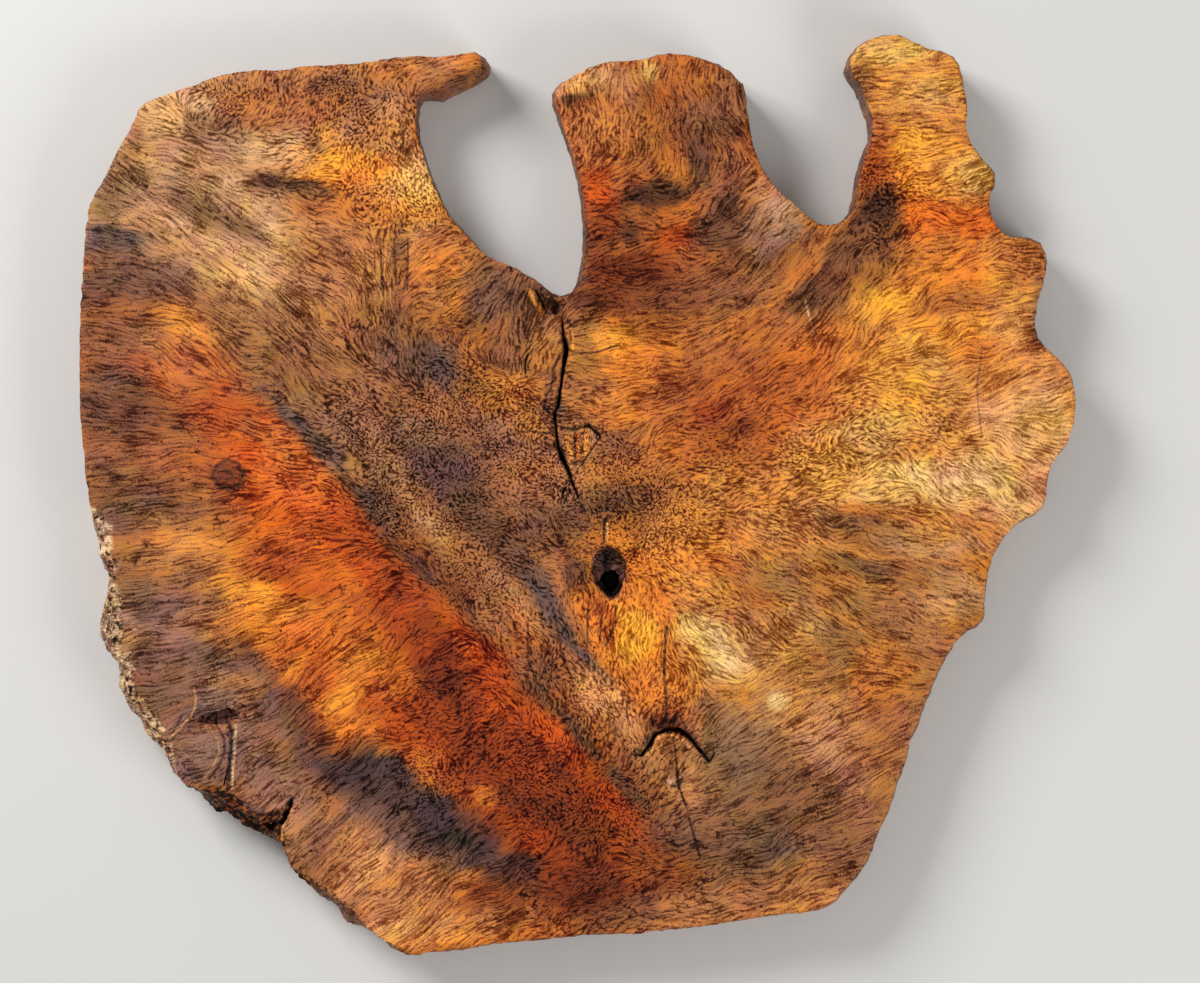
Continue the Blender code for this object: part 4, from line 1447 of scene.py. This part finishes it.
def shade_hollows_and_stain_fibre(xs, ys, hollow, depth, speckles, colour):
    """Paint shade into the hollows, darker the deeper they go, and a painted shadow on the lower
    left of the void's ledge; show torn fibre on the void's ledge and round the knot.
    """
    ledge = hollow & near_to(xs, ys, VOID_PLACE, VOID_REACH) & (depth < LEDGE_DEPTH)
    torn = ledge | (hollow & near_to(xs, ys, KNOT_PLACE, KNOT_REACH))
    plain = hollow & ~torn
    # Painted shade: the plain hollows are dimmed, then drawn towards near-black the deeper they
    # lie
    colour = np.where(plain[:, None], colour * HOLLOW_SHADE, colour)
    colour = blend(colour, "ink", plain * (1.0 - np.exp(-depth / PAINTED_SHADE_DEPTH)))
    lip = torn * np.clip(depth / LIP_FADE, 0.0, 1.0)
    colour = lay_coats(colour, lip, TORN_COATS, speckles)
    # Painted shadow over the lower left part of the void's ledge
    dark = ledge & (xs < LEDGE_SHADE_FROM[0]) & (ys > LEDGE_SHADE_FROM[1])
    return blend(colour, "ink", dark * lip), torn


def stain_walls_and_shade_hollows(places, xs, ys, colour):
    """Colour the walls, the barked live edge and the hollows, point by point, with painted shade
    in the hollows and the gash.
    """
    depth = np.maximum(0.0, FACE_HEIGHT - WALL_FROM - places[:, 2])
    low = depth > 0.0
    outer = outer_distance(places) < WALL_REACH
    past = past_crust_border(xs, ys)
    speckled = low | (past > -CRUST_FRINGE)
    speckles = [speckle(places, speckled, size) for size in (COARSE_SPECKLE, FINE_SPECKLE)]
    wall = outer & low
    live = wall & on_live_edge(places[:, 0], places[:, 1])
    hollow = ~outer & low & (places[:, 2] > HOLLOW_FLOOR)
    reached = np.clip(depth / WALL_FADE, 0.0, 1.0)
    colour = lay_coats(colour, wall * reached, WALL_COATS, speckles)
    colour = stain_live_edge_and_shade_gash(xs, ys, live, past, speckles, colour)
    return shade_hollows_and_stain_fibre(xs, ys, hollow, depth, speckles, colour)


def draw_figure():
    """The grain, its streaks and the darker and lighter figure, as fields over the sheet."""
    draw = np.random.default_rng(DRAW_SEED)
    doubled, straight = grain_at(*sheet_grid())
    swirl = sheet_noise(draw, SWIRL_SPREAD)
    doubled = doubled + 2.0 * (1.0 - STRAIGHT_CALM * straight) * SWIRL_TURN * swirl
    streak, ribbon, mottle, blot = [
        drag(sheet_noise(draw, spread), doubled, reach, steps)
        for spread, reach, steps in (STREAK, RIBBON, MOTTLE, BLOT)
    ]
    fleck = eased((blot + BLOT_MOTTLE * mottle - FLECK_FROM) / FLECK_RISE)
    figuring = MOTTLE_SHARE * mottle + RIBBON_SHARE * ribbon + STREAK_SHARE * streak
    figuring = figuring - FLECK_SHARE * (fleck - fleck.mean())
    feather = STREAK_FEATHER * streak + RIBBON_FEATHER * ribbon
    return doubled, straight, feather, figuring


def slab_colours(places, xs, ys, feather):
    """The colour of each point, and which points are torn fibre."""
    patches = [patch for group in PATCHES.values() for patch in group]
    colour = paint(xs, ys, feather, patches, "burl") / 255.0
    colour, torn = stain_walls_and_shade_hollows(places, xs, ys, colour)
    sole = places[:, 2] < SOLE_REACH
    colour = np.where(sole[:, None], colour * SOLE_SHADE + SOLE_HAZE, colour)
    face = on_face(places, WORN_SLACK)
    for stain, half_width, _, points in MARKS:
        gap = distance_to_line(xs, ys, points) / half_width
        colour = blend(colour, stain, face * MARK_COVER * np.clip(MARK_END - gap, 0.0, 1.0))
    return light_value(colour), torn


def stain_slab(slab):
    """Paint the stains, with painted shade in the hollows and the gash, and lay down the grain
    and the figure, for each point.
    """
    doubled, straight, feather, figuring = draw_figure()
    places = places_of(slab)
    xs, ys = sheet_places(places)
    colour, torn = slab_colours(places, xs, ys, read_sheet(feather, xs, ys))
    paleness = colour[:, 2] / (colour[:, 0] + LEAST_RED)
    paleness = np.clip((paleness - PALE_FROM) / (PALE_TO - PALE_FROM), 0.0, 1.0)
    tone = np.column_stack([colour, np.ones(len(places))])
    grain = np.column_stack([
        read_sheet(np.cos(doubled), xs, ys),
        read_sheet(np.sin(doubled), xs, ys),
        paleness,
    ])
    figure = np.column_stack([
        np.where(torn, TORN_CONTRAST, contrast_at(xs, ys)),
        read_sheet(straight, xs, ys),
        read_sheet(figuring, xs, ys),
    ])
    store(slab.data, "tone", "FLOAT_COLOR", tone)
    store(slab.data, "grain", "FLOAT_VECTOR", grain)
    store(slab.data, "figure", "FLOAT_VECTOR", figure)


# Materials

def add_node(tree, kind, **settings):
    """A new node with its settings."""
    node = tree.nodes.new(kind)
    for name, value in settings.items():
        setattr(node, name, value)
    return node


def feed(tree, socket, value):
    """Give a socket a plain value, or link it to another node's socket."""
    if isinstance(value, bpy.types.NodeSocket):
        tree.links.new(value, socket)
    else:
        socket.default_value = value


def calculate(tree, operation, first, second=0.0, third=0.0):
    """The output of one sum on values or sockets."""
    node = add_node(tree, "ShaderNodeMath", operation=operation)
    for socket, value in zip(node.inputs, (first, second, third)):
        feed(tree, socket, value)
    return node.outputs[0]


def calculate_places(tree, operation, first, second, third=(0.0, 0.0, 0.0)):
    """The output of one sum on places or colours; SCALE takes a number as its second."""
    node = add_node(tree, "ShaderNodeVectorMath", operation=operation)
    feed(tree, node.inputs[0], first)
    feed(tree, node.inputs[3 if operation == "SCALE" else 1], second)
    feed(tree, node.inputs[2], third)
    return node.outputs[0]


def held_between(tree, value, least, most):
    """The value, kept from falling below the least or rising above the most."""
    return calculate(tree, "MINIMUM", calculate(tree, "MAXIMUM", value, least), most)


def add_weighted(tree, base, *parts):
    """The base with each part added, times the part's own weight."""
    for part, weight in parts:
        base = calculate(tree, "MULTIPLY_ADD", part, weight, base)
    return base


def split(tree, vector):
    """The three numbers of a place, a colour or an attribute."""
    parts = add_node(tree, "ShaderNodeSeparateXYZ")
    tree.links.new(vector, parts.inputs[0])
    return parts.outputs


def join(tree, *numbers):
    """Up to three numbers as one place or colour."""
    joined = add_node(tree, "ShaderNodeCombineXYZ")
    for socket, number in zip(joined.inputs, numbers):
        tree.links.new(number, socket)
    return joined.outputs[0]


def held_by_points(tree, name):
    """What each point of the wood holds under a name."""
    return add_node(tree, "ShaderNodeAttribute", attribute_name=name).outputs


def add_noise(tree, place, scale, detail):
    """Plain noise at a place, as a number and as a colour."""
    cloudy = add_node(tree, "ShaderNodeTexNoise")
    cloudy.inputs["Scale"].default_value = scale
    cloudy.inputs["Detail"].default_value = detail
    tree.links.new(place, cloudy.inputs["Vector"])
    return cloudy.outputs[0], cloudy.outputs["Color"]


def dragged_noise(tree, place, along, scale, spacing, steps, spread):
    """Noise averaged along the grain, brought to about level 0 and spread 1."""
    total = None
    for step in range(-steps, steps + 1):
        shifted = calculate_places(tree, "MULTIPLY_ADD", along, (step * spacing,) * 3, place)
        value = add_noise(tree, shifted, scale, 0.0)[0]
        total = value if total is None else calculate(tree, "ADD", total, value)
    level = calculate(tree, "SUBTRACT", total, 0.5 * (2 * steps + 1))
    return calculate(tree, "MULTIPLY", level, 1.0 / spread)


def falling(tree, value, reach):
    """1 where the value is 0, easing to 0 where it comes to reach."""
    ease = add_node(tree, "ShaderNodeMapRange", interpolation_type="SMOOTHSTEP")
    ease.inputs["From Max"].default_value = reach
    ease.inputs["To Min"].default_value = 1.0
    ease.inputs["To Max"].default_value = 0.0
    tree.links.new(value, ease.inputs["Value"])
    return ease.outputs[0]


def dots(tree, place, scale, size, share):
    """Small round spots scattered over the wood, on a share of their cells; used for the pits and
    for the painted glints.
    """
    cells = add_node(tree, "ShaderNodeTexVoronoi")
    cells.inputs["Scale"].default_value = scale
    tree.links.new(place, cells.inputs["Vector"])
    chance = split(tree, cells.outputs["Color"])[0]
    chosen = calculate(tree, "LESS_THAN", chance, share)
    return calculate(tree, "MULTIPLY", falling(tree, cells.outputs["Distance"], size), chosen)


def grain_pull(tree, straight, cosine, sine):
    """How strongly the lines are drawn out, and that much along the grain's direction."""
    pull = calculate(tree, "MULTIPLY_ADD", straight, *PULL_BY_STRAIGHTNESS)
    pull = held_between(tree, pull, 0.0, 1.0)
    angle = calculate(tree, "MULTIPLY", calculate(tree, "ARCTAN2", sine, cosine), 0.5)
    right = calculate(tree, "MULTIPLY", calculate(tree, "COSINE", angle), pull)
    up = calculate(tree, "MULTIPLY", calculate(tree, "SINE", angle), pull)
    return pull, join(tree, right, up)


def bent_place(tree, place, straight):
    """The place pushed about, more in curly wood than in straight, so that lines bend."""
    push = add_noise(tree, place, BEND_SCALE, 0.0)[1]
    push = calculate_places(tree, "SUBTRACT", push, (0.5, 0.5, 0.5))
    reach = calculate(tree, "MULTIPLY_ADD", straight, STRAIGHT_BEND - CURLY_BEND, CURLY_BEND)
    return calculate_places(tree, "ADD", calculate_places(tree, "SCALE", push, reach), place)


def fine_lines(tree, place, bent, along, pull):
    """The dark lines that follow the grain, and the bright bands beside them, in part pale grain
    and in part painted highlight.
    """
    level = dragged_noise(tree, bent, along, *LINE_NOISE)
    scaling = calculate(tree, "MULTIPLY_ADD", pull, *LINE_LEVEL_BY_PULL)
    level = calculate(tree, "MULTIPLY", level, scaling)
    fade = add_noise(tree, place, CLOUD_SCALE, 1.0)[0]
    fade = calculate(tree, "MULTIPLY_ADD", fade, *FADE_STRETCH)
    least = calculate(tree, "MULTIPLY_ADD", pull, *LEAST_FADE_BY_PULL)
    fade = held_between(tree, fade, least, 1.0)
    line = falling(tree, calculate(tree, "ABSOLUTE", level), LINE_WIDTH)
    beside = calculate(tree, "ABSOLUTE", calculate(tree, "SUBTRACT", level, BRIGHT_LEVEL))
    bright = falling(tree, beside, BRIGHT_WIDTH)
    return calculate(tree, "MULTIPLY", line, fade), calculate(tree, "MULTIPLY", bright, fade)


def wood_figure(tree, place, straight, pull, along, contrast, mottle):
    """How far the figure, with its painted glints and painted highlights, lifts the stain at a
    place, or darkens it, and the fine relief.
    """
    bent = bent_place(tree, place, straight)
    line, bright = fine_lines(tree, place, bent, along, pull)
    ridge = dragged_noise(tree, bent, along, *RIDGE_NOISE)
    dust = add_noise(tree, place, DUST_SCALE, 0.0)[0]
    dust = calculate(tree, "MULTIPLY_ADD", dust, *DUST_STRETCH)
    cloud = add_noise(tree, place, CLOUD_SCALE, 2.0)[0]
    cloud = calculate(tree, "MULTIPLY_ADD", cloud, *CLOUD_STRETCH)
    pits = dots(tree, place, *PITS)
    # Painted highlights: bright specks in the colour only
    painted_glints = dots(tree, place, *PAINTED_GLINTS)

    ground = calculate(tree, "MULTIPLY_ADD", pull, *GROUND_BY_PULL)
    lift = calculate(tree, "MULTIPLY_ADD", pull, *BRIGHT_BY_PULL)
    figure = add_weighted(tree, ground, (line, LINE_WEIGHT), (bright, lift), (pits, PIT_WEIGHT))
    gain = calculate(tree, "MULTIPLY", contrast, CONTRAST_GAIN)
    figure = calculate(tree, "MULTIPLY", figure, gain)
    clouds = calculate(tree, "MULTIPLY_ADD", cloud, CLOUD_WEIGHT, mottle)
    combing = calculate(tree, "MULTIPLY_ADD", pull, *RIDGE_BY_PULL)
    figure = add_weighted(
        tree, figure,
        (ridge, combing), (dust, DUST_WEIGHT), (painted_glints, PAINTED_GLINT_WEIGHT), (clouds, FIGURE_WEIGHT),
    )
    pitted = calculate(tree, "MULTIPLY", pits, PIT_RELIEF)
    return figure, calculate(tree, "MULTIPLY_ADD", line, -1.0, pitted)


def figured_colour(tree, place, tone, figure, paleness):
    """The stain, deepened where the figure is dark, and lifted and warmed where bright, which
    carries the painted highlights and glints.
    """
    down = calculate(tree, "MAXIMUM", calculate(tree, "MULTIPLY", figure, -1.0), 0.0)
    deep = add_node(tree, "ShaderNodeGamma")
    tree.links.new(tone, deep.inputs[0])
    tree.links.new(calculate(tree, "MULTIPLY_ADD", down, DEEPENING, 1.0), deep.inputs[1])
    shade = calculate(tree, "EXPONENT", calculate(tree, "MULTIPLY", down, -1.0))
    shaded = calculate_places(tree, "SCALE", deep.outputs[0], shade)

    up = held_between(tree, figure, 0.0, MOST_LIFT)
    hue = split(tree, add_noise(tree, place, HUE_SCALE, 2.0)[1])
    green = calculate(tree, "MULTIPLY_ADD", hue[0], *GREEN_SWING)
    blue = calculate(tree, "MULTIPLY_ADD", hue[1], *BLUE_SWING)
    warm = calculate(tree, "ADD", up, 1.0)
    pale = calculate(tree, "MULTIPLY_ADD", up, paleness, 1.0)
    tint = join(
        tree, warm,
        calculate(tree, "MULTIPLY", warm, green), calculate(tree, "MULTIPLY", pale, blue),
    )
    return calculate_places(tree, "MULTIPLY", shaded, tint)


def wood_material():
    """Oiled burl: the stains, drawn out in streaks along the grain, with painted glints and a
    satin sheen.
    """
    material = bpy.data.materials.new("oiled_burl_wood")
    material.use_nodes = True
    tree = material.node_tree
    tree.nodes.clear()
    place = add_node(tree, "ShaderNodeTexCoord").outputs["Object"]
    tone = held_by_points(tree, "tone")["Color"]
    cosine, sine, paleness = split(tree, held_by_points(tree, "grain")["Vector"])
    contrast, straight, mottle = split(tree, held_by_points(tree, "figure")["Vector"])
    pull, along = grain_pull(tree, straight, cosine, sine)
    figure, relief = wood_figure(tree, place, straight, pull, along, contrast, mottle)
    colour = figured_colour(tree, place, tone, figure, paleness)

    bump = add_node(tree, "ShaderNodeBump")
    bump.inputs["Strength"].default_value = BUMP_STRENGTH
    bump.inputs["Distance"].default_value = BUMP_DISTANCE
    tree.links.new(relief, bump.inputs["Height"])
    shader = add_node(tree, "ShaderNodeBsdfPrincipled")
    shader.inputs["Roughness"].default_value = WOOD_ROUGHNESS
    shader.inputs["Specular IOR Level"].default_value = WOOD_SPECULAR
    tree.links.new(colour, shader.inputs["Base Color"])
    tree.links.new(bump.outputs[0], shader.inputs["Normal"])
    output = add_node(tree, "ShaderNodeOutputMaterial")
    tree.links.new(shader.outputs[0], output.inputs[0])
    return material


def floor_material():
    """Plain pale paper."""
    material = bpy.data.materials.new("pale_floor")
    material.use_nodes = True
    shader = material.node_tree.nodes["Principled BSDF"]
    shader.inputs["Base Color"].default_value = FLOOR_COLOUR
    shader.inputs["Roughness"].default_value = FLOOR_ROUGHNESS
    return material


# Studio

def make_floor():
    """The pale ground that the slab lies on."""
    bpy.ops.object.select_all(action="DESELECT")
    bpy.ops.mesh.primitive_plane_add(size=FLOOR_SIZE, location=(0, 0, 0))
    floor = bpy.context.object
    floor.name = "pale_ground"
    floor.data.materials.append(floor_material())


def area_light(name, place, size, watts):
    """A soft square light aimed at the slab's middle."""
    lamp = bpy.data.lights.new(name, "AREA")
    lamp.shape = "SQUARE"
    lamp.size = size
    lamp.energy = watts
    holder = bpy.data.objects.new(name, lamp)
    bpy.context.scene.collection.objects.link(holder)
    holder.location = place
    holder.rotation_euler = (-Vector(place)).to_track_quat("-Z", "Y").to_euler()


def light_studio():
    """Soft light from the upper left, with a pale room around."""
    for lamp in LAMPS:
        area_light(*lamp)
    world = bpy.data.worlds.new("pale_room")
    world.use_nodes = True
    world.node_tree.nodes["Background"].inputs[0].default_value = ROOM_COLOUR
    world.node_tree.nodes["Background"].inputs[1].default_value = ROOM_LIGHT
    bpy.context.scene.world = world
    bpy.context.scene.view_settings.view_transform = "Standard"


def place_camera():
    """A camera straight above the face, which it sees as the drawing sheet shows it."""
    lens = bpy.data.cameras.new("above")
    lens.sensor_fit = "HORIZONTAL"
    lens.sensor_width = CAMERA_SENSOR
    above_face = CAMERA_HEIGHT - CAD_BOX[1][2]
    lens.lens = CAMERA_SENSOR * above_face / (SHEET_SIZE[0] * SHEET_UNIT)
    camera = bpy.data.objects.new("above", lens)
    bpy.context.scene.collection.objects.link(camera)
    right = (SHEET_SIZE[0] / 2 - SHEET_MIDDLE[0]) * SHEET_UNIT
    up = (SHEET_MIDDLE[1] - SHEET_SIZE[1] / 2) * SHEET_UNIT
    camera.location = (right, up, CAMERA_HEIGHT)
    bpy.context.scene.camera = camera


def main():
    """Dress the slab and set up its studio."""
    slab = make_slab()
    stain_slab(slab)
    slab.data.materials.clear()
    slab.data.materials.append(wood_material())
    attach(slab, "root")
    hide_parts("burl_slab")
    make_floor()
    light_studio()
    place_camera()


main()
